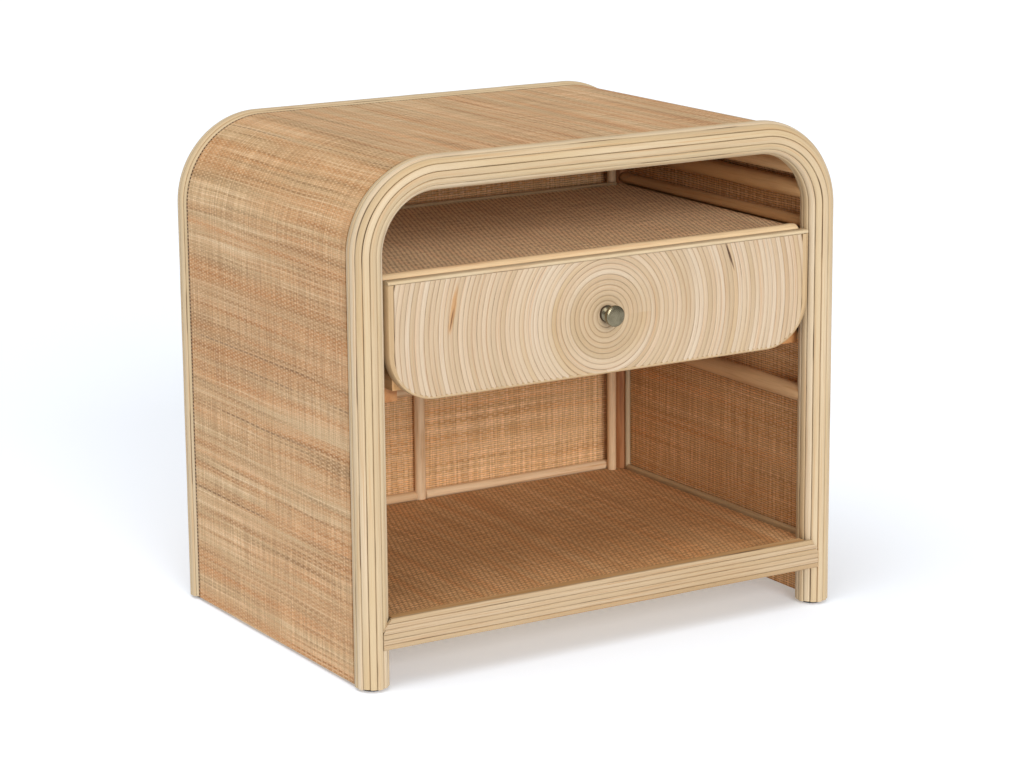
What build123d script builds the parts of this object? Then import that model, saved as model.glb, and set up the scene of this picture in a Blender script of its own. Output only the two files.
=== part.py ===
"""Rattan nightstand with one drawer, between an open top cubby and an open compartment.

Two inverted-U arches of bent pole, dressed lengthwise with split reeds, carry a curved board
that is covered outside and inside with woven cane.  Poles and cleats along the inside walls
hold two woven shelves, and the drawer slides on wooden runners between them.

Frame: X is the width, -Y the front, +Z up.  The origin is at floor level in the middle of the
whole nightstand's bounding box, the knob included.  All sizes are in millimetres.
"""
import os
from math import cos, radians, sin, sqrt

from build123d import *

os.makedirs("parts", exist_ok=True)

# ---------------------------------------------------------------- driving dimensions
WIDTH = 610.0
DEPTH = 432.0
HEIGHT = 559.0
KNOB_REACH = 13.0  # how far the knob's face stands out in front of the arches
GAP = 0.1  # between pieces that lie on each other

ARCH_R = 18.5  # a dressed arch's section
CORE_R = 14.0  # the bent pole inside it
ARCH_BEND = 81.5  # bend radius of the pole's centre line
REED_R = 3.3
REEDS_ROUND = 14  # reeds that would go all the way round a pole
REED_TURN = 360.0 / REEDS_ROUND
REED_START = -3.0  # angle of reed 0 from the arch's face
REED_FOOT_STEP = 0.4  # neighbouring reeds end this much higher or lower
FOOT_Z = 3.0  # underside of the poles, on top of the glides
GLIDE_R = 11.0
GLIDE_NAIL_R = 1.5
GLIDE_NAIL_L = 16.0

WALL_IN = 289.0  # inner face of the side walls
WEAVE_T = 1.5
BOARD_T = 10.0
WALL_OUT = WALL_IN + 2 * WEAVE_T + BOARD_T
SKIRT_Z = 4.0  # lower edge of the side walls
REED_SEAM = 12.4  # the outer weave meets the last reed this far behind a pole's axis
BOARD_SEAM = 13.9

# Derived places
MID_Y = KNOB_REACH / 2
FRONT_Y = MID_Y - DEPTH / 2
BACK_Y = MID_Y + DEPTH / 2
POST_X = WIDTH / 2 - ARCH_R
ARCH_TOP = HEIGHT - ARCH_R
FRONT_ARCH_Y = FRONT_Y + ARCH_R
BACK_ARCH_Y = BACK_Y - ARCH_R
REED_REACH = ARCH_R - REED_R  # from the pole's axis to a reed's axis
BEND_Z = ARCH_TOP - ARCH_BEND  # where the posts start to bend
BEND_X = POST_X - ARCH_BEND

# Front rail
RAIL_REED_R = 2.8
RAIL_REEDS = 6
RAIL_Z = 44.5
RAIL_TOP = RAIL_Z + RAIL_REEDS * 2 * RAIL_REED_R
RAIL_T = 13.0
RAIL_REED_T = 4.4
RAIL_REED_END = 281.5
REED_END_STEPS = (271.0, 275.4)  # half lengths of the two upper reeds, which meet the arch's reeds
RAIL_INSET = 1.0  # the rail's core is this much lower than its reeds, at both edges
BACK_RAIL_T = 11.5

# Shelves: woven top surfaces
LOWER_TOP = 73.2
UPPER_TOP = 431.0
SHELF_T = 11.5
SHELF_BACK_Y = BACK_Y - 23.2
LOWER_TRIM_R = 4.0
CLEAT_W = 18.0
CLEAT_H = 14.0
CLEAT_L = 340.0

# Back panel
BACK_PANEL_Y = BACK_Y - 11.0
BACK_BOARD_T = 6.0
BACK_PANEL_INSET = 16.1  # panel's edge, inside the arch's centre line
BACK_PANEL_Z = 46.0
BACK_PANEL_HALF = POST_X - BACK_PANEL_INSET

# Poles, and the heights at which they run
CORNER_ANGLE = radians(38.0)  # round the arches' bend
UPPER_POLE_Z = 475.0
STRETCHER_Z = 242.0
RUNNER_POLE_Z = 308.0
BACK_MIDDLE_Z = 206.0
BACK_BOTTOM_Z = LOWER_TOP + 3.8
BACK_CORNER_X = 266.8
UPPER_HALF_POLE = 265.0
POLE_END_ROUND = 3.0
SIDE_POLE_R = 10.0
THIN_POLE_R = 6.5
BACK_POLE_R = 5.9
BACK_CENTRE_R = 6.8
BACK_CORNER_R = 5.5
SHELF_FRONT_R = 9.0

# Drawer
DRAWER_HALF = 266.0
DRAWER_Z = 305.0
DRAWER_TOP = 434.0
DRAWER_CORNER = 55.0
DRAWER_FACE_Y = FRONT_Y + 6.0
RING_R = 2.85
RING_PITCH = 5.8
RING_COUNT = 45
RING_T = 4.0
FRONT_BOARD_T = 8.9
BINDING_T = 1.5
TOP_TRIM_T = 4.0
SIDE_TRIM_W = 7.0
RING_Z = 367.0  # centre of the rings
KNOB_Z = 370.5
BOX_HALF = 256.0
BOX_T = 12.0
BOX_Z = 316.4
BOX_TOP = 410.0
BOX_BACK_Y = BACK_Y - 54.0
BOX_BOTTOM_T = 5.0
BOX_BOTTOM_Z = 322.0
GROOVE = 6.0
BOX_PLAY = 0.5  # behind and beside pieces that slide or slot into each other
TOP_TRIM_ROUND = 1.8
TOP_TRIM_FRONT_ROUND = 1.5
SIDE_TRIM_ROUND = 1.6
BINDING_SETBACK = 1.0

# Runners
RUNNER_IN = 240.0
RUNNER_OUT = WALL_IN - 2 * THIN_POLE_R - 4 * GAP
RUNNER_Z = 300.0
RUNNER_TOP = 316.0
RUNNER_LIP_X = 257.5
RUNNER_LIP_TOP = 330.0
RUNNER_Y = (FRONT_Y + 38.0, BACK_Y - 34.0)
STOP_W = 14.0
STOP_L = 16.0
STOP_H = 20.0
SCREW_R = 2.0
SCREW_HEAD_R = 4.0
SCREW_HEAD_T = 3.0
SCREW_L = 44.0
SCREW_YS = (MID_Y - 148.0, MID_Y - 8.0, MID_Y + 152.0)

# Knob: a plate against the reeds, a waisted neck and a flat head with a raised rim
ROSETTE_R = 9.2
ROSETTE_T = 3.0
ROSETTE_ROUND = 1.2
NECK_R = 5.0
NECK_FOOT_R = 6.5
NECK_HEAD_R = 7.5
HEAD_R = 11.5
HEAD_T = 5.5
RIM_W = 1.6
RIM_H = 0.8
KNOB_HOLE_L = 8.0
KNOB_SCREW_GRIP = 7.0
KNOB_SCREW_HEAD_T = 2.5

SIDES = {"left": -1, "right": 1}


def write(piece, name):
    """Label a finished piece and write its STEP file."""
    piece.part.label = name
    export_step(piece.part, f"parts/{name}.step")


def arch_plane(y):
    """The vertical plane of an arch: local x is X and local y is Z."""
    return Plane.XZ.offset(-y)


def arch_outline(reach, foot):
    """An inverted U, reach millimetres outside the arches' centre line."""
    half = POST_X + reach
    top = ARCH_TOP + reach
    return FilletPolyline((-half, foot), (-half, top), (half, top), (half, foot), radius=ARCH_BEND + reach)


def reed_angle(index):
    """Angle of a reed round its pole, from the arch's outward face towards the wall."""
    return radians(REED_START + index * REED_TURN)


# ---------------------------------------------------------------- arches
def make_arch_pole(arch_y):
    """The bent pole of one arch, bored at each foot for its glide."""
    with BuildPart() as pole:
        with BuildLine(arch_plane(arch_y)) as path:
            arch_outline(0, FOOT_Z)
        with BuildSketch(Plane.XY.offset(FOOT_Z)):
            with Locations((-POST_X, arch_y)):
                Circle(CORE_R)
        sweep(path=path.line)
        with Locations((-POST_X, arch_y, FOOT_Z), (POST_X, arch_y, FOOT_Z)):
            Cylinder(GLIDE_NAIL_R + GAP, 2 * (GLIDE_NAIL_L + GAP), mode=Mode.SUBTRACT)
    return pole


def make_reed(arch_y, face, index, notch_top=None):
    """One split reed along an arch.  face is -1 at the front and 1 at the back.

    notch_top is the height down to which the reed is cut away to let the front rail in.
    """
    angle = reed_angle(index)
    reach = REED_REACH * sin(angle)
    reed_y = arch_y + face * REED_REACH * cos(angle)
    foot = FOOT_Z + REED_FOOT_STEP * (index % 3)
    with BuildPart() as reed:
        with BuildLine(arch_plane(reed_y)) as path:
            arch_outline(reach, foot)
        with BuildSketch(Plane.XY.offset(foot)):
            with Locations((-POST_X - reach, reed_y)):
                Circle(REED_R)
            with Locations((-POST_X, arch_y)):
                Circle(CORE_R + GAP, mode=Mode.SUBTRACT)
        sweep(path=path.line)
        if notch_top:
            with Locations((0, reed_y, RAIL_Z - GAP)):
                Box(
                    WIDTH,
                    3 * REED_R,
                    notch_top - RAIL_Z + GAP,
                    align=(Align.CENTER, Align.CENTER, Align.MIN),
                    mode=Mode.SUBTRACT,
                )
    return reed


front_arch_pole = make_arch_pole(FRONT_ARCH_Y)
write(front_arch_pole, "front_arch_pole")
back_arch_pole = make_arch_pole(BACK_ARCH_Y)
write(back_arch_pole, "back_arch_pole")

# The inner reeds of the front arch stop in steps on the rail's upper reeds, and go on below it.
RAIL_STEP = 2 * RAIL_REED_R
NOTCH_TOPS = {-1: RAIL_TOP - 2 * RAIL_STEP, -2: RAIL_TOP - RAIL_STEP}
front_reeds = []
for index in range(-5, 6):
    notch = NOTCH_TOPS.get(index, RAIL_TOP) + GAP if index < 0 else None
    front_reeds.append(make_reed(FRONT_ARCH_Y, -1, index, notch).part)
with BuildPart() as front_arch_reeds:
    add(front_reeds)
write(front_arch_reeds, "front_arch_reeds")

# The back arch is bare towards the room inside, where the back panel's poles stand.
back_reeds = [make_reed(BACK_ARCH_Y, 1, index).part for index in range(-2, 6)]
with BuildPart() as back_arch_reeds:
    add(back_reeds)
write(back_arch_reeds, "back_arch_reeds")

with BuildPart() as foot_glides:
    with Locations(*[(sx * POST_X, y, 0) for sx in (-1, 1) for y in (FRONT_ARCH_Y, BACK_ARCH_Y)]):
        Cylinder(GLIDE_R, FOOT_Z - GAP, align=(Align.CENTER, Align.CENTER, Align.MIN))
        Cylinder(GLIDE_NAIL_R, FOOT_Z + GLIDE_NAIL_L, align=(Align.CENTER, Align.CENTER, Align.MIN))
write(foot_glides, "foot_glides")

# Solids that other pieces are coped against
with BuildPart() as arch_envelopes:
    for arch_y in (FRONT_ARCH_Y, BACK_ARCH_Y):
        with BuildLine(arch_plane(arch_y)) as path:
            arch_outline(0, 0)
        with BuildSketch(Plane.XY):
            with Locations((-POST_X, arch_y)):
                Circle(ARCH_R + 2 * GAP)
        sweep(path=path.line)


# ---------------------------------------------------------------- curved walls and top
def make_shell(outer, thickness, y_from_arch, foot):
    """An inverted-U sheet between the arches; outer is its half width at the outside."""
    y_front = FRONT_ARCH_Y + y_from_arch
    y_back = BACK_ARCH_Y - y_from_arch
    reach = outer - POST_X
    with BuildPart() as shell:
        with BuildSketch(arch_plane(y_back)):
            with BuildLine():
                arch_outline(reach, foot)
                Line((POST_X + reach, foot), (-POST_X - reach, foot))
            make_face()
            with BuildLine():
                arch_outline(reach - thickness, foot)
                Line((POST_X + reach - thickness, foot), (-POST_X - reach + thickness, foot))
            make_face(mode=Mode.SUBTRACT)
        extrude(amount=y_back - y_front)
    return shell


shell_board = make_shell(WALL_OUT - WEAVE_T - GAP, BOARD_T - 2 * GAP, BOARD_SEAM, SKIRT_Z + 2)
write(shell_board, "shell_board")
outer_weave = make_shell(WALL_OUT, WEAVE_T, REED_SEAM, SKIRT_Z)
write(outer_weave, "outer_weave")
inner_weave = make_shell(WALL_IN + WEAVE_T, WEAVE_T, BOARD_SEAM, SKIRT_Z)
write(inner_weave, "inner_weave")


# ---------------------------------------------------------------- poles along the side walls
def make_side_pole(x, z, radius):
    """A pole from the front arch to the back arch, coped to both."""
    length = BACK_ARCH_Y - FRONT_ARCH_Y
    with BuildPart() as pole:
        with BuildSketch(arch_plane(BACK_ARCH_Y)):
            with Locations((x, z)):
                Circle(radius)
        extrude(amount=length)
        add(arch_envelopes.part, mode=Mode.SUBTRACT)
    return pole


WALL_POLE_X = WALL_IN - SIDE_POLE_R - 2 * GAP
THIN_POLE_X = WALL_IN - THIN_POLE_R - 2 * GAP
CORNER_REACH = ARCH_BEND - (POST_X - WALL_IN) - SIDE_POLE_R - 3 * GAP
CORNER_X = BEND_X + CORNER_REACH * cos(CORNER_ANGLE)
CORNER_Z = BEND_Z + CORNER_REACH * sin(CORNER_ANGLE)
UPPER_POLE_X = BEND_X + sqrt(CORNER_REACH**2 - (UPPER_POLE_Z - BEND_Z) ** 2)
SHELF_POLE_Z = UPPER_TOP + THIN_POLE_R + GAP

SIDE_POLES = {
    "corner_pole": (CORNER_X, CORNER_Z, SIDE_POLE_R),
    "upper_side_pole": (UPPER_POLE_X, UPPER_POLE_Z, SIDE_POLE_R),
    "shelf_edge_pole": (THIN_POLE_X, SHELF_POLE_Z, THIN_POLE_R),
    "stretcher_pole": (WALL_POLE_X, STRETCHER_Z, SIDE_POLE_R),
}
for side, sx in SIDES.items():
    for kind, (x, z, radius) in SIDE_POLES.items():
        side_pole = make_side_pole(sx * x, z, radius)
        write(side_pole, f"{kind}_{side}")


def make_runner_screws(clearance):
    """All runner screws, pointing outwards, or the holes for them if there is a clearance."""
    with BuildPart() as screws:
        for sx in SIDES.values():
            for y in SCREW_YS:
                start = (sx * (RUNNER_IN - clearance), y, RUNNER_POLE_Z)
                with BuildSketch(Plane(start, x_dir=(0, 1, 0), z_dir=(sx, 0, 0))):
                    Circle(SCREW_R + clearance)
                extrude(amount=SCREW_L + 2 * clearance)
                with BuildSketch(Plane(start, x_dir=(0, 1, 0), z_dir=(sx, 0, 0))):
                    Circle(SCREW_HEAD_R + clearance)
                extrude(amount=SCREW_HEAD_T + 2 * clearance)
    return screws


runner_screws = make_runner_screws(0)
write(runner_screws, "runner_screws")
runner_screw_holes = make_runner_screws(GAP)

for side, sx in SIDES.items():
    length = BACK_ARCH_Y - FRONT_ARCH_Y
    with BuildPart() as runner_pole:
        with BuildSketch(arch_plane(BACK_ARCH_Y)):
            with Locations((sx * THIN_POLE_X, RUNNER_POLE_Z)):
                Circle(THIN_POLE_R)
        extrude(amount=length)
        add(arch_envelopes.part, mode=Mode.SUBTRACT)
        add(runner_screw_holes.part, mode=Mode.SUBTRACT)
    write(runner_pole, f"runner_pole_{side}")

    with BuildPart() as drawer_runner:
        with BuildSketch(arch_plane(RUNNER_Y[1])):
            with BuildLine():
                Polyline(
                    (sx * RUNNER_IN, RUNNER_Z),
                    (sx * RUNNER_OUT, RUNNER_Z),
                    (sx * RUNNER_OUT, RUNNER_LIP_TOP),
                    (sx * RUNNER_LIP_X, RUNNER_LIP_TOP),
                    (sx * RUNNER_LIP_X, RUNNER_TOP),
                    (sx * RUNNER_IN, RUNNER_TOP),
                    close=True,
                )
            make_face()
        extrude(amount=RUNNER_Y[1] - RUNNER_Y[0])
        add(arch_envelopes.part, mode=Mode.SUBTRACT)
        add(runner_screw_holes.part, mode=Mode.SUBTRACT)
    write(drawer_runner, f"drawer_runner_{side}")

with BuildPart() as drawer_stops:
    for sx in SIDES.values():
        with Locations((sx * (RUNNER_IN + STOP_W / 2), BOX_BACK_Y + BOX_PLAY, RUNNER_TOP + GAP)):
            Box(STOP_W, STOP_L, STOP_H, align=(Align.CENTER, Align.MIN, Align.MIN))
write(drawer_stops, "drawer_stops")


# ---------------------------------------------------------------- back panel
def make_back_sheet(y, thickness, foot):
    """A flat sheet that fills the back arch."""
    with BuildPart() as sheet:
        with BuildSketch(arch_plane(y + thickness)):
            with BuildLine():
                arch_outline(-BACK_PANEL_INSET, foot)
                Line((BACK_PANEL_HALF, foot), (-BACK_PANEL_HALF, foot))
            make_face()
        extrude(amount=thickness)
    return sheet


back_weave_inner = make_back_sheet(BACK_PANEL_Y, WEAVE_T, BACK_PANEL_Z)
write(back_weave_inner, "back_weave_inner")
BACK_BOARD_Y = BACK_PANEL_Y + WEAVE_T + GAP
back_board = make_back_sheet(BACK_BOARD_Y, BACK_BOARD_T, BACK_PANEL_Z)
write(back_board, "back_board")
back_weave_outer = make_back_sheet(BACK_BOARD_Y + BACK_BOARD_T + GAP, WEAVE_T, BACK_PANEL_Z)
write(back_weave_outer, "back_weave_outer")

# Poles in front of the back panel
BACK_CENTRE_Y = BACK_PANEL_Y - BACK_CENTRE_R - GAP
BACK_POLE_Y = BACK_PANEL_Y - BACK_POLE_R - GAP
BACK_CORNER_Y = BACK_POLE_Y - BACK_POLE_R - BACK_CORNER_R - GAP
UPPER_BOARD_Z = UPPER_TOP - WEAVE_T - GAP - SHELF_T
LOWER_WEAVE_Z = LOWER_TOP - WEAVE_T  # on the lower shelf's board

with BuildPart() as back_centre_pole:
    with BuildSketch(Plane.XY.offset(LOWER_WEAVE_Z)):
        with Locations((0, BACK_CENTRE_Y)):
            Circle(BACK_CENTRE_R)
    extrude(amount=UPPER_BOARD_Z - LOWER_WEAVE_Z - GAP)
write(back_centre_pole, "back_centre_pole")

BACK_CROSS_POLES = {"back_bottom_poles": BACK_BOTTOM_Z, "back_middle_poles": BACK_MIDDLE_Z}
for name, z in BACK_CROSS_POLES.items():
    with BuildPart() as cross_pole:
        with BuildSketch(Plane.YZ.offset(-BACK_PANEL_HALF)):
            with Locations((BACK_POLE_Y, z)):
                Circle(BACK_POLE_R)
        extrude(amount=2 * BACK_PANEL_HALF)
        with Locations((0, BACK_CENTRE_Y, z)):
            Cylinder(BACK_CENTRE_R + GAP, 4 * BACK_POLE_R, mode=Mode.SUBTRACT)
    write(cross_pole, name)

BACK_CORNER_TOP = UPPER_POLE_Z - SIDE_POLE_R - 2 * GAP
for side, sx in SIDES.items():
    with BuildPart() as back_corner_pole:
        with BuildSketch(Plane.XY.offset(LOWER_WEAVE_Z)):
            with Locations((sx * BACK_CORNER_X, BACK_CORNER_Y)):
                Circle(BACK_CORNER_R)
        extrude(amount=BACK_CORNER_TOP - LOWER_WEAVE_Z)
        for name in ("shelf_edge_pole", "stretcher_pole"):
            x, z, radius = SIDE_POLES[name]
            with BuildSketch(arch_plane(BACK_ARCH_Y)):
                with Locations((sx * x, z)):
                    Circle(radius + GAP)
            extrude(amount=DEPTH / 2, mode=Mode.SUBTRACT)
    write(back_corner_pole, f"back_corner_pole_{side}")

# Light reeds in the corners between the back arch and the walls
CORNER_REED_X = WALL_IN - REED_R - 2 * GAP
CORNER_REED_Y = BACK_ARCH_Y - CORE_R - REED_R - 2 * GAP
for side, sx in SIDES.items():
    with BuildPart() as corner_reed:
        with BuildSketch(Plane.XY.offset(LOWER_WEAVE_Z)):
            with Locations((sx * CORNER_REED_X, CORNER_REED_Y)):
                Circle(REED_R)
        extrude(amount=STRETCHER_Z - SIDE_POLE_R - LOWER_WEAVE_Z - GAP)
    write(corner_reed, f"corner_reed_{side}")


# ---------------------------------------------------------------- shelves
def make_shelf_sheet(z, thickness, half, y_front, y_back):
    """A shelf layer of this half width, notched round the posts."""
    with BuildPart() as sheet:
        with BuildSketch(Plane.XY.offset(z)):
            with Locations((0, y_front)):
                Rectangle(2 * half, y_back - y_front, align=(Align.CENTER, Align.MIN))
            for sx in SIDES.values():
                with Locations((sx * POST_X, FRONT_ARCH_Y)):
                    Circle(ARCH_R + 2 * GAP, mode=Mode.SUBTRACT)
                with Locations((sx * POST_X, BACK_ARCH_Y)):
                    Circle(CORE_R + 2 * GAP, mode=Mode.SUBTRACT)
        extrude(amount=thickness)
    return sheet


def cut_for_corner_poles(sheet, top):
    """Let the back corner poles pass through a shelf layer."""
    with sheet:
        with Locations(*[(sx * BACK_CORNER_X, BACK_CORNER_Y, top) for sx in SIDES.values()]):
            Cylinder(BACK_CORNER_R + GAP, 4 * SHELF_T, mode=Mode.SUBTRACT)
    return sheet


HALF_SHELF = WALL_IN - GAP
SHELF_FRONT_Y = DRAWER_FACE_Y + RING_T + GAP + FRONT_BOARD_T + BOX_PLAY + SHELF_FRONT_R
SHELF_FRONT_Z = UPPER_TOP - 1.5
UPPER_FRONT_EDGE = SHELF_FRONT_Y + SHELF_FRONT_R + GAP
UPPER_HALF_WEAVE = THIN_POLE_X - THIN_POLE_R - GAP
BACK_TRIM_Y = BACK_CORNER_Y - BACK_CORNER_R - REED_R - GAP

upper_shelf_board = make_shelf_sheet(UPPER_BOARD_Z, SHELF_T, HALF_SHELF, UPPER_FRONT_EDGE, SHELF_BACK_Y)
upper_shelf_board = cut_for_corner_poles(upper_shelf_board, UPPER_TOP)
write(upper_shelf_board, "upper_shelf_board")
UPPER_WEAVE_BACK = BACK_TRIM_Y - REED_R - GAP
UPPER_WEAVE_Z = UPPER_TOP - WEAVE_T
upper_weave_y = (UPPER_FRONT_EDGE, UPPER_WEAVE_BACK)
upper_shelf_weave = make_shelf_sheet(UPPER_WEAVE_Z, WEAVE_T, UPPER_HALF_WEAVE, *upper_weave_y)
write(upper_shelf_weave, "upper_shelf_weave")

with BuildPart() as upper_shelf_front_pole:
    with BuildSketch(Plane.YZ.offset(-UPPER_HALF_POLE)):
        with Locations((SHELF_FRONT_Y, SHELF_FRONT_Z)):
            Circle(SHELF_FRONT_R)
    extrude(amount=2 * UPPER_HALF_POLE)
    fillet(upper_shelf_front_pole.edges().filter_by(GeomType.CIRCLE), radius=POLE_END_ROUND)
write(upper_shelf_front_pole, "upper_shelf_front_pole")

with BuildPart() as upper_shelf_back_trim:
    with BuildSketch(Plane.YZ.offset(-BACK_CORNER_X)):
        with Locations((BACK_TRIM_Y, UPPER_TOP)):
            Circle(REED_R)
        with Locations((BACK_TRIM_Y, UPPER_WEAVE_Z)):
            Rectangle(3 * REED_R, 2 * REED_R, align=(Align.CENTER, Align.MAX), mode=Mode.SUBTRACT)
    extrude(amount=2 * BACK_CORNER_X)
write(upper_shelf_back_trim, "upper_shelf_back_trim")

LOWER_FRONT_EDGE = FRONT_Y + RAIL_REED_T + GAP + RAIL_T + GAP
LOWER_BOARD_Z = LOWER_TOP - WEAVE_T - GAP - SHELF_T
lower_shelf_board = make_shelf_sheet(LOWER_BOARD_Z, SHELF_T, HALF_SHELF, LOWER_FRONT_EDGE, SHELF_BACK_Y)
write(lower_shelf_board, "lower_shelf_board")
LOWER_TRIM_X = WALL_IN - LOWER_TRIM_R - GAP
LOWER_HALF_WEAVE = LOWER_TRIM_X - LOWER_TRIM_R - GAP
lower_shelf_weave = make_shelf_sheet(LOWER_WEAVE_Z, WEAVE_T, LOWER_HALF_WEAVE, LOWER_FRONT_EDGE, SHELF_BACK_Y)
lower_shelf_weave = cut_for_corner_poles(lower_shelf_weave, LOWER_TOP)
with lower_shelf_weave:
    with Locations((0, BACK_CENTRE_Y, LOWER_TOP)):
        Cylinder(BACK_CENTRE_R + GAP, 4 * WEAVE_T, mode=Mode.SUBTRACT)
write(lower_shelf_weave, "lower_shelf_weave")

for side, sx in SIDES.items():
    with BuildPart() as lower_shelf_trim:
        with BuildSketch(arch_plane(CORNER_REED_Y - REED_R - GAP)):
            with Locations((sx * LOWER_TRIM_X, LOWER_TOP + LOWER_TRIM_R / 2)):
                Circle(LOWER_TRIM_R)
            with Locations((sx * LOWER_TRIM_X, LOWER_WEAVE_Z)):
                below = (Align.CENTER, Align.MAX)
                Rectangle(3 * LOWER_TRIM_R, LOWER_TRIM_R, align=below, mode=Mode.SUBTRACT)
        extrude(amount=CORNER_REED_Y - FRONT_ARCH_Y)
        add(arch_envelopes.part, mode=Mode.SUBTRACT)
    write(lower_shelf_trim, f"lower_shelf_trim_{side}")

# Cleats under both shelves, along the walls
CLEATS = {"upper_cleat": UPPER_BOARD_Z, "lower_cleat": LOWER_BOARD_Z}
for name, top in CLEATS.items():
    for side, sx in SIDES.items():
        with BuildPart() as cleat:
            with Locations((sx * (WALL_IN - CLEAT_W / 2 - GAP), MID_Y, top - GAP)):
                Box(CLEAT_W, CLEAT_L, CLEAT_H, align=(Align.CENTER, Align.CENTER, Align.MAX))
        write(cleat, f"{name}_{side}")

# ---------------------------------------------------------------- rails at the bottom
RAIL_CORE_Y = FRONT_Y + RAIL_REED_T + GAP
RAIL_CORE_Z = RAIL_Z + RAIL_INSET
RAIL_CORE_TOP = RAIL_TOP - RAIL_INSET
RAIL_STEP_END = POST_X - ARCH_R - 3 * GAP
RAIL_TENON_TOP = RAIL_TOP - 2 * RAIL_STEP - 5 * GAP
with BuildPart() as front_rail:
    with Locations((0, RAIL_CORE_Y, RAIL_CORE_Z)):
        upright = (Align.CENTER, Align.MIN, Align.MIN)
        Box(2 * RAIL_STEP_END, RAIL_T, RAIL_CORE_TOP - RAIL_CORE_Z, align=upright)
        Box(2 * RAIL_REED_END, RAIL_T, RAIL_TENON_TOP - RAIL_CORE_Z, align=upright)
    with Locations((-POST_X, FRONT_ARCH_Y, RAIL_Z), (POST_X, FRONT_ARCH_Y, RAIL_Z)):
        Cylinder(CORE_R + 2 * GAP, 2 * RAIL_TOP, mode=Mode.SUBTRACT)
write(front_rail, "front_rail")

with BuildPart() as front_rail_reeds:
    for index in range(RAIL_REEDS):
        half = REED_END_STEPS[index] if index < len(REED_END_STEPS) else RAIL_REED_END
        z = RAIL_TOP - RAIL_REED_R - index * RAIL_STEP
        with BuildSketch(Plane.YZ.offset(-half)):
            with Locations((FRONT_Y + RAIL_REED_R, z)):
                Circle(RAIL_REED_R - GAP / 2)
                with Locations((RAIL_REED_T - RAIL_REED_R, 0)):
                    Rectangle(RAIL_REED_T, RAIL_STEP, align=(Align.MIN, Align.CENTER), mode=Mode.SUBTRACT)
        extrude(amount=2 * half)
write(front_rail_reeds, "front_rail_reeds")

with BuildPart() as back_rail:
    with Locations((0, SHELF_BACK_Y + 2 * GAP, BACK_PANEL_Z)):
        Box(
            2 * BACK_PANEL_HALF,
            BACK_RAIL_T,
            BACK_BOTTOM_Z - BACK_POLE_R - BACK_PANEL_Z - 2 * GAP,
            align=(Align.CENTER, Align.MIN, Align.MIN),
        )
write(back_rail, "back_rail")


# ---------------------------------------------------------------- drawer
def drawer_outline(inset, top):
    """The drawer front's outline, drawn in an arch plane: square at the top, round below."""
    half = DRAWER_HALF - inset
    low = DRAWER_Z + inset
    FilletPolyline((-half, top), (-half, low), (half, low), (half, top), radius=DRAWER_CORNER - inset)
    Line((half, top), (-half, top))


FACE_BACK_Y = DRAWER_FACE_Y + RING_T  # back of the rings
BOARD_BACK_Y = FACE_BACK_Y + GAP + FRONT_BOARD_T
TRIM_UNDER = DRAWER_TOP - TOP_TRIM_T

with BuildPart() as drawer_front_board:
    with BuildSketch(arch_plane(BOARD_BACK_Y)):
        with BuildLine():
            drawer_outline(BINDING_T + GAP, TRIM_UNDER - GAP)
        make_face()
    extrude(amount=FRONT_BOARD_T)
    with BuildSketch(arch_plane(BOARD_BACK_Y)):
        with Locations((0, KNOB_Z)):
            Circle(SCREW_R + GAP)
    extrude(amount=FRONT_BOARD_T, mode=Mode.SUBTRACT)
write(drawer_front_board, "drawer_front_board")

with BuildPart() as drawer_ring_reeds:
    with BuildSketch(Plane.XY.offset(RING_Z)):
        for index in range(1, RING_COUNT):
            with Locations((RING_R + index * RING_PITCH, DRAWER_FACE_Y + RING_R)):
                Circle(RING_R)
        with Locations((0, FACE_BACK_Y)):
            Rectangle(2 * WIDTH, RING_T, align=(Align.CENTER, Align.MIN), mode=Mode.SUBTRACT)
    revolve(axis=Axis((0, 0, RING_Z), (0, 1, 0)))
    with BuildSketch(arch_plane(BOARD_BACK_Y)):
        with BuildLine():
            drawer_outline(BINDING_T + GAP, TRIM_UNDER - GAP)
        make_face()
        trim_half = DRAWER_HALF - SIDE_TRIM_W - GAP
        with Locations((0, DRAWER_Z)):
            Rectangle(2 * trim_half, HEIGHT, align=(Align.CENTER, Align.MIN), mode=Mode.INTERSECT)
    extrude(amount=2 * FRONT_BOARD_T, mode=Mode.INTERSECT)
write(drawer_ring_reeds, "drawer_ring_reeds")

with BuildPart() as drawer_top_trim:
    with Locations((0, DRAWER_FACE_Y, TRIM_UNDER)):
        trim_depth = BOARD_BACK_Y - DRAWER_FACE_Y
        Box(2 * DRAWER_HALF, trim_depth, TOP_TRIM_T, align=(Align.CENTER, Align.MIN, Align.MIN))
    fillet(drawer_top_trim.edges().filter_by(Axis.X).group_by(Axis.Z)[-1], radius=TOP_TRIM_ROUND)
    lower_front_edge = drawer_top_trim.edges().filter_by(Axis.X).group_by(Axis.Z)[0].sort_by(Axis.Y)[0]
    fillet(lower_front_edge, radius=TOP_TRIM_FRONT_ROUND)
write(drawer_top_trim, "drawer_top_trim")

SIDE_TRIM_FOOT = DRAWER_Z + DRAWER_CORNER
with BuildPart() as drawer_side_trims:
    for sx in SIDES.values():
        with BuildSketch(Plane.XY.offset(SIDE_TRIM_FOOT)):
            with Locations((sx * (DRAWER_HALF - BINDING_T - GAP), DRAWER_FACE_Y)):
                side_align = (Align.MAX if sx > 0 else Align.MIN, Align.MIN)
                Rectangle(SIDE_TRIM_W - BINDING_T - GAP, RING_T, align=side_align)
        extrude(amount=TRIM_UNDER - GAP - SIDE_TRIM_FOOT)
    fillet(drawer_side_trims.edges().filter_by(Axis.Z).group_by(Axis.Y)[0], radius=SIDE_TRIM_ROUND)
write(drawer_side_trims, "drawer_side_trims")

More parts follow.
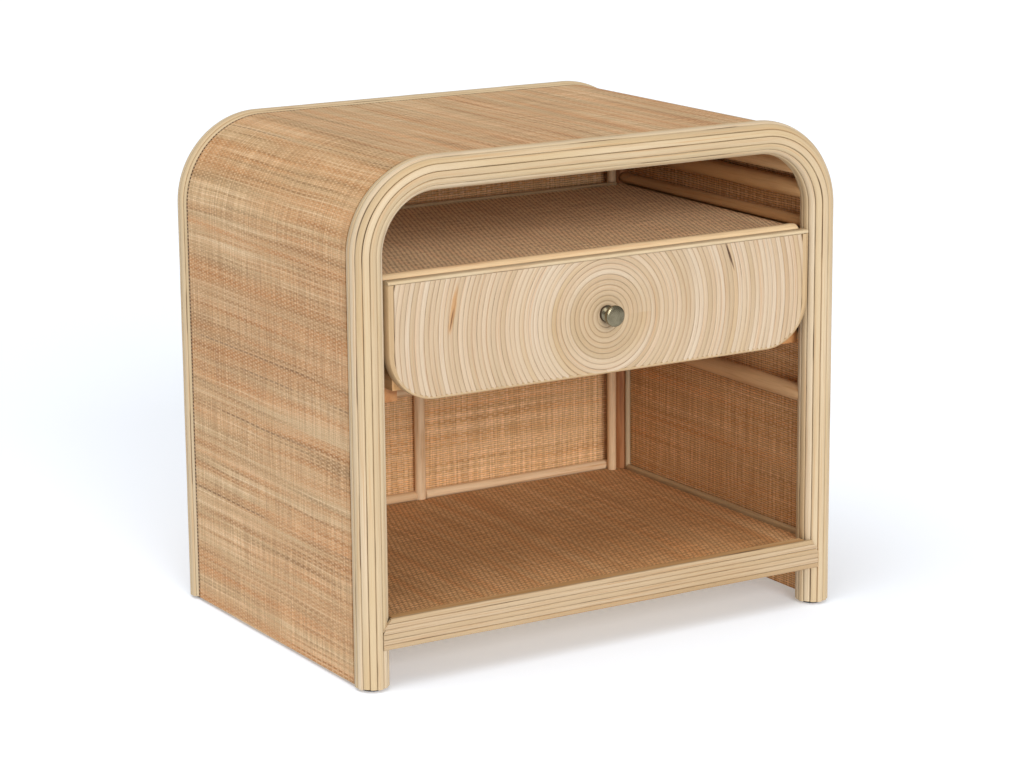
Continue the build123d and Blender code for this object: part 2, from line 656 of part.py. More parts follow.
with BuildPart() as drawer_edge_binding:
    with BuildSketch(arch_plane(BOARD_BACK_Y)):
        with BuildLine():
            drawer_outline(0, TRIM_UNDER - GAP)
        make_face()
        with BuildLine():
            drawer_outline(BINDING_T, TRIM_UNDER - GAP)
        make_face(mode=Mode.SUBTRACT)
    extrude(amount=BOARD_BACK_Y - DRAWER_FACE_Y - BINDING_SETBACK)
write(drawer_edge_binding, "drawer_edge_binding")

BOX_FRONT_Y = BOARD_BACK_Y + GAP
for side, sx in SIDES.items():
    with BuildPart() as drawer_side:
        with Locations((sx * (BOX_HALF - BOX_T / 2), BOX_FRONT_Y, BOX_Z)):
            Box(BOX_T, BOX_BACK_Y - BOX_FRONT_Y, BOX_TOP - BOX_Z, align=(Align.CENTER, Align.MIN, Align.MIN))
        with Locations((sx * (BOX_HALF - BOX_T), BOX_FRONT_Y, BOX_BOTTOM_Z)):
            Box(
                2 * GROOVE,
                BOX_BACK_Y - BOX_FRONT_Y,
                BOX_BOTTOM_T,
                align=(Align.CENTER, Align.MIN, Align.MIN),
                mode=Mode.SUBTRACT,
            )
    write(drawer_side, f"drawer_side_{side}")

BACK_STRIP_Z = BOX_BOTTOM_Z + BOX_BOTTOM_T + GAP
with BuildPart() as drawer_back:
    with Locations((0, BOX_BACK_Y, BACK_STRIP_Z)):
        Box(
            2 * (BOX_HALF - BOX_T - GAP),
            BOX_T,
            BOX_TOP - BACK_STRIP_Z,
            align=(Align.CENTER, Align.MAX, Align.MIN),
        )
write(drawer_back, "drawer_back")

with BuildPart() as drawer_bottom:
    with Locations((0, BOX_FRONT_Y, BOX_BOTTOM_Z + GAP)):
        Box(
            2 * (BOX_HALF - BOX_T + GROOVE - BOX_PLAY),
            BOX_BACK_Y - BOX_FRONT_Y - BOX_PLAY,
            BOX_BOTTOM_T - 2 * GAP,
            align=(Align.CENTER, Align.MIN, Align.MIN),
        )
write(drawer_bottom, "drawer_bottom")

KNOB_FACE_Y = FRONT_Y - KNOB_REACH
KNOB_AXIS = Axis((0, 0, KNOB_Z), (0, 1, 0))
NECK_BACK_Y = DRAWER_FACE_Y - ROSETTE_T - GAP

with BuildPart() as knob_rosette:
    with BuildSketch(arch_plane(DRAWER_FACE_Y - GAP)):
        with Locations((0, KNOB_Z)):
            Circle(ROSETTE_R)
            Circle(SCREW_R + GAP, mode=Mode.SUBTRACT)
    extrude(amount=ROSETTE_T - GAP)
    front_circles = knob_rosette.edges().filter_by(GeomType.CIRCLE).group_by(Axis.Y)[0]
    fillet(front_circles.sort_by(SortBy.RADIUS)[-1], radius=ROSETTE_ROUND)
write(knob_rosette, "knob_rosette")

with BuildPart() as knob:
    with BuildSketch(Plane.XY.offset(KNOB_Z)):
        with BuildLine():
            head_back = KNOB_FACE_Y + HEAD_T
            Line((0, NECK_BACK_Y), (NECK_FOOT_R, NECK_BACK_Y))
            Spline(
                (NECK_FOOT_R, NECK_BACK_Y),
                (NECK_R, (NECK_BACK_Y + head_back) / 2),
                (NECK_HEAD_R, head_back),
            )
            Polyline(
                (NECK_HEAD_R, head_back),
                (HEAD_R, head_back),
                (HEAD_R, KNOB_FACE_Y),
                (HEAD_R - RIM_W, KNOB_FACE_Y),
                (HEAD_R - RIM_W, KNOB_FACE_Y + RIM_H),
                (0, KNOB_FACE_Y + RIM_H),
                (0, NECK_BACK_Y),
            )
        make_face()
    revolve(axis=KNOB_AXIS)
    with BuildSketch(arch_plane(NECK_BACK_Y)):
        with Locations((0, KNOB_Z)):
            Circle(SCREW_R + GAP)
    extrude(amount=KNOB_HOLE_L, mode=Mode.SUBTRACT)
write(knob, "knob")

with BuildPart() as knob_screw:
    with BuildSketch(arch_plane(BOARD_BACK_Y + GAP)):
        with Locations((0, KNOB_Z)):
            Circle(SCREW_R)
    extrude(amount=BOARD_BACK_Y + GAP - NECK_BACK_Y + KNOB_SCREW_GRIP)
    with BuildSketch(arch_plane(BOARD_BACK_Y + GAP + KNOB_SCREW_HEAD_T)):
        with Locations((0, KNOB_Z)):
            Circle(SCREW_HEAD_R)
    extrude(amount=KNOB_SCREW_HEAD_T)
write(knob_screw, "knob_screw")
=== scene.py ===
"""Looks of the rattan nightstand: reeds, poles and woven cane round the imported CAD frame.

Every length is in metres, in the CAD's own frame.  Sizes come from the CAD nodes' boxes.
"""
import math
import random

import bpy
import numpy as np
from mathutils import Matrix, Vector


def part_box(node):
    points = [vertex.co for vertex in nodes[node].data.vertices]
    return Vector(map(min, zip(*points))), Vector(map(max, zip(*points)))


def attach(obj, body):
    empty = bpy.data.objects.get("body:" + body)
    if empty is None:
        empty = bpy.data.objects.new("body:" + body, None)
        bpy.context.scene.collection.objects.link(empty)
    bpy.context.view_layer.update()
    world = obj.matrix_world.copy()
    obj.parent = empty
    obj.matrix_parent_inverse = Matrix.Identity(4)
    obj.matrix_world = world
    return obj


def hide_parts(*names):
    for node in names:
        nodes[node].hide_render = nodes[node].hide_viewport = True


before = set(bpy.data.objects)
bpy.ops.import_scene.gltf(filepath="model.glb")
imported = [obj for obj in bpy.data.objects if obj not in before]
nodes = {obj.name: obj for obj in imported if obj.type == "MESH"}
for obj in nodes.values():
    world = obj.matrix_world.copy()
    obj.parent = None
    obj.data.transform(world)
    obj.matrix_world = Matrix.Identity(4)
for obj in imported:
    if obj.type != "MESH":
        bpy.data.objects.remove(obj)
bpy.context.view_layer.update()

MM = 0.001
rng = random.Random(24)


# ---------------------------------------------------------------- shader helpers
class Shader:
    """Builds one node material around a Principled shader."""

    def __init__(self, name, roughness, **constants):
        self.material = bpy.data.materials.new(name)
        self.material.use_nodes = True
        self.tree = self.material.node_tree
        self.bsdf = self.tree.nodes["Principled BSDF"]
        self.bsdf.inputs["Roughness"].default_value = roughness
        for socket, value in constants.items():
            self.bsdf.inputs[socket.replace("_", " ")].default_value = value

    def put(self, socket, value):
        """Links another node's output to a socket, or sets the socket to a plain value."""
        if isinstance(value, bpy.types.NodeSocket):
            self.tree.links.new(value, socket)
        else:
            socket.default_value = value

    def node(self, kind, inputs=(), **settings):
        """Adds a shader node with these inputs, by name or number, and these settings."""
        made = self.tree.nodes.new("ShaderNode" + kind)
        for key, value in settings.items():
            setattr(made, key, value)
        for key, value in dict(inputs).items():
            self.put(made.inputs[key], value)
        return made

    def math(self, operation, *values):
        made = self.node("Math", operation=operation)
        for socket, value in zip(made.inputs, values):
            self.put(socket, value)
        return made.outputs[0]

    def plus(self, first, second):
        return self.math("ADD", first, second)

    def minus(self, first, second):
        return self.math("SUBTRACT", first, second)

    def times(self, first, second):
        return self.math("MULTIPLY", first, second)

    def distance(self, value, place):
        """How far a value is from a place, either way."""
        return self.math("ABSOLUTE", self.minus(value, place))

    def attribute(self, name):
        """The three numbers that a mesh holds under this name."""
        read = self.node("Attribute", attribute_name=name)
        split = self.node("SeparateXYZ", {0: read.outputs["Vector"]})
        return split.outputs[0], split.outputs[1], split.outputs[2]

    def vector(self, x=0.0, y=0.0, z=0.0):
        return self.node("CombineXYZ", {0: x, 1: y, 2: z}).outputs[0]

    def noise(self, vector, detail=2.0, roughness=0.5):
        inputs = {"Vector": vector, "Scale": 1.0, "Detail": detail, "Roughness": roughness}
        return self.node("TexNoise", inputs).outputs["Fac"]

    def cloud(self, scale, detail):
        """Noise in the object's own space, with this many cells per metre every way."""
        place = self.node("TexCoord").outputs["Object"]
        scaled = self.node("VectorMath", {0: place, 1: (scale,) * 3}, operation="MULTIPLY")
        return self.noise(scaled.outputs[0], detail)

    def random(self, vector):
        return self.node("TexWhiteNoise", {"Vector": vector}).outputs["Value"]

    def span(self, value, low, high, out_low=0.0, out_high=1.0):
        """Value from low..high, smoothly, to out_low..out_high."""
        made = self.node("MapRange", interpolation_type="SMOOTHSTEP")
        for socket, number in zip(made.inputs, (value, low, high, out_low, out_high)):
            self.put(socket, number)
        return made.outputs[0]

    def ramp(self, factor, colours):
        made = self.node("ValToRGB", {"Fac": factor})
        elements = made.color_ramp.elements
        while len(elements) < len(colours):
            elements.new(0.5)
        for index, colour in enumerate(colours):
            elements[index].position = index / (len(colours) - 1)
            elements[index].color = rgb(colour)
        return made.outputs["Color"]

    def mix(self, factor, first, second, blend="MIX"):
        made = self.node("Mix", data_type="RGBA", blend_type=blend)
        self.put(made.inputs[0], factor)
        self.put(made.inputs[6], first)
        self.put(made.inputs[7], second)
        return made.outputs[2]

    def finish(self, colour, height=None, distance=0.0, strength=1.0, roughness=None):
        self.put(self.bsdf.inputs["Base Color"], colour)
        if roughness is not None:
            self.put(self.bsdf.inputs["Roughness"], roughness)
        if height is not None:
            bump = self.node("Bump", {"Height": height, "Distance": distance, "Strength": strength})
            self.put(self.bsdf.inputs["Normal"], bump.outputs["Normal"])
        return self.material


def rgb(code):
    """A screen colour such as "e1cdaa" as a linear one with alpha."""
    channels = [int(code[i : i + 2], 16) / 255 for i in (0, 2, 4)]
    linear = [c / 12.92 if c <= 0.04045 else ((c + 0.055) / 1.055) ** 2.4 for c in channels]
    return (*linear, 1.0)


# ---------------------------------------------------------------- materials
def blemish(s, colour, x, z, half_wide, half_tall, lean, code, strength):
    """The colour with a long soft mark on it, at one place of the drawer's face."""
    split = s.node("SeparateXYZ", {0: s.node("TexCoord").outputs["Object"]})
    place_x, place_z = split.outputs[0], split.outputs[2]
    up = s.minus(place_z, z)
    aside = s.minus(s.minus(place_x, x), s.times(up, lean))
    wobble = s.noise(s.vector(s.times(place_x, 300.0), s.times(place_z, 90.0)), 2.0)
    across = s.math("POWER", s.math("DIVIDE", aside, half_wide), 2.0)
    tall = s.math("POWER", s.math("DIVIDE", up, half_tall), 2.0)
    reach = s.plus(s.plus(across, tall), s.times(wobble, 0.8))
    return s.mix(s.span(reach, 0.5, 1.5, strength, 0.0), colour, rgb(code))


def stick_material(name, tones, streak, mark, roughness, fibre, edge_dust_and_shade=0.30, crack=0.55, blemishes=()):
    """Split reed or pole: grain along its length, one tone per stick, knots, edges darkened by dust and
    painted shade, and dark open joints.

    The mesh attribute "stick" holds metres along the stick, -1..1 across it and its own number.
    The number after fibre darkens each stick's edges everywhere with dust and painted shade from its
    neighbours; crack says how dark the joints are where they open.
    """
    s = Shader(name, roughness, Specular_IOR_Level=0.30)
    along, across, own = s.attribute("stick")
    seed = s.times(own, 91.0)
    drift = s.noise(s.vector(s.times(along, 3.0), seed, 0.0), 1.0)
    tone = s.plus(s.times(own, 0.62), s.times(drift, 0.62))
    colour = s.ramp(s.minus(tone, 0.12), tones)
    bands = s.noise(s.vector(s.times(along, 7.0), s.times(across, 2.3), seed), 3.0, 0.6)
    colour = s.mix(s.span(bands, 0.48, 0.76, 0.0, 0.70), colour, rgb(streak))
    fine = s.noise(s.vector(s.times(along, 30.0), s.times(across, fibre), seed), 3.0, 0.65)
    colour = s.mix(s.span(fine, 0.40, 0.75, 0.0, 0.22), colour, rgb(mark))
    knots = s.noise(s.vector(s.times(along, 22.0), s.times(across, 1.1), seed), 1.0)
    colour = s.mix(s.span(knots, 0.77, 0.85, 0.0, 0.6), colour, rgb(streak))
    rim = s.math("ABSOLUTE", across)
    # Dust and painted shade: each stick darkens towards its edges, where the shade between sticks falls.
    colour = s.mix(s.span(rim, 0.80, 1.0, 0.0, edge_dust_and_shade), colour, rgb(mark))
    opened = s.noise(s.vector(s.times(along, 9.0), seed, 7.0), 2.0)
    opened = s.times(s.span(opened, 0.56, 0.66), s.span(rim, 0.86, 0.97))
    colour = s.mix(s.times(opened, crack), colour, rgb("5b4028"))
    for place in blemishes:
        colour = blemish(s, colour, *place)
    return s.finish(colour, fine, 0.00025, 0.6)


def pole_material(name, tones, streak, mark):
    """A round pole, which has no joints to darken."""
    return stick_material(name, tones, streak, mark, 0.45, 20.0, edge_dust_and_shade=0.0, crack=0.0)


REED_TONES = ("a98f69", "baa27e", "c9b493", "c2ab86", "cebb9e", "bea57e", "b59e7e")
RING_TONES = ("a58a64", "b9a182", "c5af93", "b69e7e", "c7b49b", "bda482", "ab9068")
RAIL_TONES = ("a0845f", "b19571", "bba382", "ad9169", "bfa889", "af9472")
TRIM_TONES = ("ab8f68", "bc9f78", "c6ab84", "b2966e")
# x, z, half width, half height, lean, colour and strength of the marks on the drawer's face
DRAWER_MARKS = (
    (0.0, 0.367, 0.085, 0.050, 0.0, "a5875a", 0.30),  # darker rings round the knob
    (-0.1895, 0.396, 0.0040, 0.030, 0.20, "b5844f", 0.75),  # a long knot
    (-0.1915, 0.386, 0.0011, 0.014, 0.20, "6b4526", 0.85),  # and its heart
    (0.1605, 0.416, 0.0014, 0.019, -0.36, "4a2f1b", 0.95),  # a crack
)
reed_look = stick_material("split_reed", REED_TONES, "b98f63", "8a6d4c", 0.50, 9.0, 0.12, 0.65)
ring_look = stick_material(
    "drawer_reed", RING_TONES, "bb906a", "8a6c4c", 0.48, 8.0, edge_dust_and_shade=0.12, blemishes=DRAWER_MARKS
)
rail_look = stick_material("rail_reed", RAIL_TONES, "a97c4e", "7d6040", 0.50, 9.0, 0.20, 0.65)
trim_look = stick_material("trim_reed", TRIM_TONES, "9a764c", "5d452b", 0.5, 8.0)
pole_look = pole_material("rattan_pole", ("c1905f", "d0a675", "d8b184", "c89a69"), "b3763f", "7a4a28")
front_pole_look = pole_material("pale_pole", ("dcc199", "e6cfa8", "dfbe92"), "cf9f74", "94744f")
# Painted light: the back poles get lighter tones than the other poles, for the light that falls off towards
# the cabinet's back.
back_pole_lit_look = pole_material("back_pole", ("d8b287", "e5c39a", "ebcca5", "dfba8f"), "c08a54", "7a5433")

PALE_WARPS = ("c69f74", "dcbb94", "cfa982")
# Warps for the shelves, painted dark as the shade in the hollows under the wefts.
DARK_WARPS = ("6b523a", "7f6449", "5c452f")
CANE = "c39d6f"
OVER_PART = 0.34  # of a pair of warps, how far to each side one weft runs on top
FLANK = 0.335  # metres up the left wall, the middle of a band of warmer cane


def weave_material(
    name, brightness, redness, shade, evenness, row_pitch, warp_pitch, rib,
    base=CANE, warp_tones=PALE_WARPS, seam=None,
):
    """Fine woven cane: flat wefts over and under wider warps, streaked along the wefts.

    The mesh attribute "weave" holds metres along the wefts and across them.  redness scales the
    green once and the blue twice.  shade darkens the hollows, evenness 0..1 calms the streaks
    towards the base colour, and rib is how much of their own colour the warps show.  seam is a
    place along the wefts where a dark line, broken row by row like stitches, paints the shade in the gap at
    the outer sheet's edge.
    """
    s = Shader(name, 0.60, Specular_IOR_Level=0.22)
    # Where a point lies: its weft row, its place in the row and its place on the pair of warps.
    along, raw_across, _ = s.attribute("weave")
    drift = s.noise(s.vector(s.times(along, 6.0), s.times(raw_across, 7.0)), 2.0)
    across = s.plus(raw_across, s.times(drift, 7.0 * MM))
    rows = s.math("DIVIDE", across, row_pitch)
    row = s.math("FLOOR", rows)
    in_row = s.minus(s.times(s.math("FRACT", rows), 2.0), 1.0)
    jitter = s.times(s.random(s.vector(row)), 0.32)
    warps = s.plus(s.math("DIVIDE", along, warp_pitch), jitter)
    odd = s.times(s.math("PINGPONG", row, 1.0), 0.5)
    turn = s.math("FRACT", s.plus(s.times(warps, 0.5), odd))
    offset = s.distance(turn, 0.5)
    # The surface: humped wefts where they run over, lower warps where they run under.
    over = s.span(offset, 0.28, 0.36, 1.0, 0.0)
    hump = s.minus(1.0, s.math("POWER", s.math("DIVIDE", offset, OVER_PART), 2.0))
    hump = s.math("MAXIMUM", hump, 0.0)
    crown = s.minus(1.0, s.math("POWER", s.math("ABSOLUTE", in_row), 2.5))
    weft_height = s.times(s.plus(s.times(hump, 0.6), 0.4), crown)
    warp_height = s.times(s.plus(s.times(crown, 0.3), 0.7), 0.42)
    under = s.times(s.minus(1.0, over), warp_height)
    height = s.plus(s.times(over, weft_height), under)

    # The wefts: streaks of warm and grey cane, and a few dark strands.
    wide = s.noise(s.vector(s.times(across, 24.0), s.times(along, 1.6), 1.0), 3.0, 0.6)
    narrow = s.noise(s.vector(s.times(across, 150.0), s.times(along, 2.5), 2.0), 2.0, 0.6)
    strand = s.noise(s.vector(s.times(row, 3.7), s.times(along, 5.0), 3.0), 0.0)
    light = s.plus(s.times(narrow, 0.9), s.times(strand, 0.7))
    light = s.plus(light, s.times(wide, 0.6))
    light = s.span(light, 0.68, 1.52, 0.0, 1.0)
    hue = s.noise(s.vector(s.times(across, 60.0), s.times(along, 2.0), 9.0), 3.0, 0.6)
    warm = s.ramp(light, ("9c6839", "bd8553", "cb9a6c", "deb68c"))
    grey = s.ramp(light, ("8f7450", "b2956e", "c6aa82", "dcc29c"))
    weft = s.mix(s.span(hue, 0.70, 0.34), warm, grey)
    weft = s.mix(evenness, weft, rgb(base))
    if seam is not None:
        flank = s.distance(raw_across, FLANK)
        weft = s.mix(s.span(flank, 0.03, 0.10, 0.32, 0.0), weft, rgb("a8703f"))
    rare = s.random(s.vector(row, 5.0))
    patch = s.noise(s.vector(s.times(row, 1.9), s.times(along, 6.0), 4.0), 1.0)
    rare = s.times(s.span(rare, 0.98, 0.995), s.span(patch, 0.40, 0.58))
    weft = s.mix(s.times(rare, 0.75 * max(0.0, 1 - 2 * evenness)), weft, rgb("6e5234"))
    # The warps, then specks, hollows and fine threads over both.
    column = s.math("FLOOR", s.plus(s.math("DIVIDE", along, warp_pitch), 0.5))
    warp = s.mix(rib, weft, s.ramp(s.random(s.vector(column, 3.0)), warp_tones))
    colour = s.mix(over, warp, weft)
    speck = s.noise(s.vector(s.times(along, 260.0), s.times(across, 900.0)), 2.0)
    colour = s.mix(s.span(speck, 0.35, 0.75, 0.0, 0.25), colour, rgb("8e6a43"))
    colour = s.mix(s.span(height, 0.0, 0.6, shade, 0.0), colour, rgb("4a2f1b"))
    threads = s.noise(s.vector(s.times(along, 430.0), s.times(raw_across, 16.0), 6.0), 1.0, 0.5)
    tint = s.ramp(s.span(threads, 0.34, 0.66), ("c9bfb2", "ffffff"))
    colour = s.mix(0.48, colour, tint, "MULTIPLY")
    # Painted shade: a dark line at the seam for the gap at the outer sheet's edge, broken row by row like
    # stitches.
    if seam is not None:
        away = s.distance(along, seam)
        stitched = s.plus(s.times(s.math("PINGPONG", row, 1.0), 0.5), 0.45)
        line = s.times(s.span(away, 0.6 * MM, 2.8 * MM, 1.0, 0.0), stitched)
        colour = s.mix(line, colour, rgb("3b2615"))
    # Painted light: each copy of the cane gets its own brightness and redness for the light that reaches it.
    gain = (brightness, brightness * redness, brightness * redness**2, 1.0)
    colour = s.mix(1.0, colour, gain, "MULTIPLY")
    return s.finish(colour, height, 0.0005, 0.8)


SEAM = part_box("outer_weave")[1].y - 1.5 * MM  # just inside the outer sheet's back edge
# One cane in five copies, lit and shaded by painted light: the inside, back and shelves are brightened for
# the dim cubbies, the upper shelf most.
outer_look = weave_material(
    "woven_cane_outside", 1.2096, 1.0, 0.27, 0.10, 2.05 * MM, 6.0 * MM, 0.6, seam=SEAM
)
inner_look = weave_material("woven_cane_inside", 1.5456, 0.93, 1.0, 0.45, 2.6 * MM, 7.5 * MM, 0.9)
back_look = weave_material("woven_cane_back", 1.736, 0.98, 0.80, 0.45, 2.6 * MM, 7.5 * MM, 0.8)
upper_shelf_lit_look = weave_material(
    "woven_cane_upper_shelf", 2.688, 1.04, 0.8, 0.78, 2.8 * MM, 7.5 * MM, 0.55, "b5a386", DARK_WARPS
)
lower_shelf_look = weave_material(
    "woven_cane_lower_shelf", 1.5232, 0.94, 0.8, 0.55, 2.8 * MM, 7.5 * MM, 0.5, "bd9468", DARK_WARPS
)


def wood_material(name, tones, axis, roughness):
    """Sawn wood with its grain along one axis of the frame."""
    s = Shader(name, roughness, Specular_IOR_Level=0.3)
    split = s.node("SeparateXYZ", {0: s.node("TexCoord").outputs["Object"]})
    scales = [140.0, 140.0, 140.0]  # noise cells per metre across the grain
    scales[axis] = 5.0
    stretched = s.vector(*[s.times(split.outputs[i], scales[i]) for i in range(3)])
    grain = s.noise(stretched, 4.0, 0.6)
    pores = s.noise(s.vector(*[s.times(split.outputs[i], 4 * scales[i]) for i in range(3)]), 2.0)
    colour = s.ramp(s.span(grain, 0.3, 0.7), tones)
    colour = s.mix(s.span(pores, 0.55, 0.8, 0.0, 0.4), colour, rgb("6b4a2c"))
    return s.finish(colour, pores, 0.0002, 0.5)


PLY_TONES = ("b8925f", "c9a878", "d3b58a")
ply_look = wood_material("plywood", PLY_TONES, 0, 0.6)
runner_wood = wood_material("runner_wood", ("9c6538", "ad7645", "b98453"), 1, 0.55)
WOOD_TONES = ("a9804f", "b98f60", "c39e70")
wood_along_y = wood_material("hardwood_deep", WOOD_TONES, 1, 0.55)
wood_along_x = wood_material("hardwood_wide", WOOD_TONES, 0, 0.55)


def metal_material(name, tones, roughness):
    """Dull metal with fine turned lines round the knob's axis."""
    s = Shader(name, roughness, Metallic=1.0)
    split = s.node("SeparateXYZ", {0: s.node("TexCoord").outputs["Object"]})
    low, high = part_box("knob")
    up = s.minus(split.outputs[2], (low.z + high.z) / 2)
    from_axis = s.math("SQRT", s.plus(s.math("POWER", split.outputs[0], 2.0), s.math("POWER", up, 2.0)))
    rings = s.noise(s.vector(s.times(from_axis, 9000.0), s.times(split.outputs[1], 2500.0)), 2.0)
    colour = s.ramp(s.cloud(120, 3.0), tones)
    rough = s.span(rings, 0.3, 0.7, roughness - 0.06, roughness + 0.08)
    return s.finish(colour, rings, 0.00003, 0.5, roughness=rough)


nickel_look = metal_material("brushed_nickel", ("5a5343", "7d745e", "a2987e"), 0.24)
# Painted shade: the plate's dark tones stand in for the shadow of the knob's head over it.
shaded_plate_look = metal_material("plate_painted_shade", ("3b3024", "54483a", "6a5e4b"), 0.36)
zinc_look = metal_material("zinc_plate", ("8a8d8f", "a9acad"), 0.38)


def plastic_material():
    """Dark plastic with a fine grit, for the glides under the feet."""
    s = Shader("dark_glide", 0.55)
    grit = s.cloud(900, 2.0)
    return s.finish(s.ramp(grit, ("1b1815", "2b2622")), grit, 0.0001, 0.4)


glide_look = plastic_material()


# ---------------------------------------------------------------- mesh helpers
class Piece:
    """Collects closed lofted solids with a three-number attribute, and makes one object of them."""

    def __init__(self, name, attribute):
        self.name = name
        self.attribute = attribute
        self.points = []
        self.faces = []
        self.values = []
        self.count = 0

    def loft(self, rings, values):
        """rings and values are (stations, points round, 3); the ends are closed with flat caps."""
        stations, around = rings.shape[:2]
        base = self.count
        for i in range(stations - 1):
            for j in range(around):
                k = (j + 1) % around
                low, high = base + i * around, base + (i + 1) * around
                self.faces.append((low + j, low + k, high + k, high + j))
        self.faces.append(tuple(base + j for j in reversed(range(around))))
        self.faces.append(tuple(base + (stations - 1) * around + j for j in range(around)))
        self.points.append(rings.reshape(-1, 3))
        self.values.append(values.reshape(-1, 3))
        self.count += stations * around

    def make(self, look, body, slot, *replaced, sharp=50):
        """Makes the object, on a body, in place of the named CAD nodes.  slot is not used."""
        mesh = bpy.data.meshes.new(self.name)
        mesh.from_pydata(np.concatenate(self.points).tolist(), [], self.faces)
        held = mesh.attributes.new(self.attribute, "FLOAT_VECTOR", "POINT")
        held.data.foreach_set("vector", np.concatenate(self.values).astype(np.float32).ravel())
        mesh.update()
        mesh.polygons.foreach_set("use_smooth", [True] * len(mesh.polygons))
        mesh.set_sharp_from_angle(angle=math.radians(sharp))
        mesh.materials.append(look)
        made = bpy.data.objects.new(self.name, mesh)
        bpy.context.scene.collection.objects.link(made)
        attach(made, body)
        if replaced:
            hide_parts(*replaced)
        return made


def wander(distance, size, longest, seed):
    """A smooth random curve of about this size, with waves up to longest metres."""
    draw = random.Random(seed)
    total = np.zeros_like(distance)
    for octave in range(4):
        wave = longest / (octave * 0.9 + 1)
        total += np.sin(distance * 2 * math.pi / wave + draw.uniform(0, 2 * math.pi)) / (octave + 1.5)
    return total * size / 1.6


def lengths(path):
    """Distance along a path at each of its points."""
    steps = np.linalg.norm(np.diff(path, axis=0), axis=1)
    return np.concatenate([[0.0], np.cumsum(steps)])


def directions(path):
    """Unit direction of a path at each of its points."""
    ahead = np.gradient(path, axis=0)
    return ahead / np.linalg.norm(ahead, axis=1)[:, None]


def sweep(path, up, profile, along=None, own=0.5, side=None, width=None, height=None):
    """Rings of a profile, (across, up) pairs, carried along a path; and its stick values."""
    along = lengths(path) if along is None else along
    side = np.cross(directions(path), up) if side is None else side
    width = np.ones(len(path)) if width is None else width
    height = np.ones(len(path)) if height is None else height
    across = profile[:, 0][None, :, None] * width[:, None, None]
    raised = profile[:, 1][None, :, None] * height[:, None, None]
    rings = path[:, None, :] + side[:, None, :] * across + up[:, None, :] * raised
    values = np.empty_like(rings)
    values[..., 0] = along[:, None]
    values[..., 1] = (profile[:, 0] / np.abs(profile[:, 0]).max())[None, :]
    values[..., 2] = own
    return rings, values


def crown_profile(half, top, edge, back, steps=10):
    """A split reed's section: round on top, flat at the back."""
    angles = np.linspace(math.pi, 0, steps + 1)
    arc = [(half * math.cos(a), edge + (top - edge) * math.sin(a) ** 0.7) for a in angles]
    return np.array([(-half * 0.93, back), *arc, (half * 0.93, back)])[::-1]


def round_profile(radius, steps=24):
    """A round pole's section."""
    angles = np.linspace(0, 2 * math.pi, steps, endpoint=False)
    return np.stack([radius * np.cos(angles), radius * np.sin(angles)], axis=1)


def spaced(start, end, step):
    """Evenly spaced numbers from start to end, about step apart."""
    return np.linspace(start, end, max(2, int(abs(end - start) / step) + 1))


# ---------------------------------------------------------------- places taken from the CAD
core_low, core_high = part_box("front_arch_pole")
back_core_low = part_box("back_arch_pole")[0]
CORE_R = (core_high.y - core_low.y) / 2
POST_X = core_high.x - CORE_R
ARCH_TOP = core_high.z - CORE_R
FOOT_Z = core_low.z
FRONT_ARCH_Y = core_low.y + CORE_R
BACK_ARCH_Y = back_core_low.y + CORE_R
BEND = 81.5 * MM  # radius of the arches' upper corners, on the centre line
BEND_Z = ARCH_TOP - BEND
BEND_X = POST_X - BEND
ARCH_R = 18.5 * MM  # an arch with its reeds on
REED_HALF = 3.33 * MM
REED_TURN = math.radians(360 / 14)
REED_START = math.radians(-3)  # reed 0 lies on the arch's face, turned a little inward
rail_low, rail_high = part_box("front_rail_reeds")
RAIL_Z = rail_low.z
RAIL_TOP = rail_high.z
RAIL_REEDS = 6
RAIL_END = rail_high.x
MITRE_INSET = 15.5 * MM  # from the rail's end, at 2 mm over its top
MITRE_Z = RAIL_TOP + 2 * MM
MITRE_SLOPE = 1.03
TUCK = 9 * MM  # how far the innermost reeds go down behind the rail


def bend_points(centre_x, centre_z, radius, sign, rise, angles):
    """Quarter-circle points of an outline, with the outward direction at each.

    sign is -1 on the left and 1 on the right; rise is 1 for a top corner and -1 for a bottom one.
    """
    out = [(sign * math.cos(a), rise * math.sin(a)) for a in angles]
    return [(sign * centre_x + radius * x, centre_z + radius * z, x, z) for x, z in out]


def arch_line(foot, step=9 * MM, bend_step=4 * MM):
    """Points of the arches' centre line in X and Z, and the outward direction at each."""
    rise = spaced(foot, BEND_Z, step)
    turn = spaced(0, math.pi / 2, bend_step / BEND)[1:]
    flat = spaced(-BEND_X, BEND_X, step)[1:]
    points = [(-POST_X, z, -1.0, 0.0) for z in rise]
    points += bend_points(BEND_X, BEND_Z, BEND, -1, 1, turn)
    points += [(x, ARCH_TOP, 0.0, 1.0) for x in flat]
    points += bend_points(BEND_X, BEND_Z, BEND, 1, 1, math.pi / 2 - turn)
    points += [(POST_X, z, 1.0, 0.0) for z in rise[::-1][1:]]
    return np.array(points)


# ---------------------------------------------------------------- reeds of the arches
REED_OVERLAP = 1.08  # neighbours run into each other a little
ARCH_REED = crown_profile(REED_HALF * REED_OVERLAP, ARCH_R, 17.1 * MM, CORE_R + 0.1 * MM)


def mitre_height(x):
    """Height of the slanted line on which the arch's inner reeds meet the rail's upper ones."""
    return MITRE_Z - MITRE_SLOPE * (np.abs(x) - (RAIL_END - MITRE_INSET))


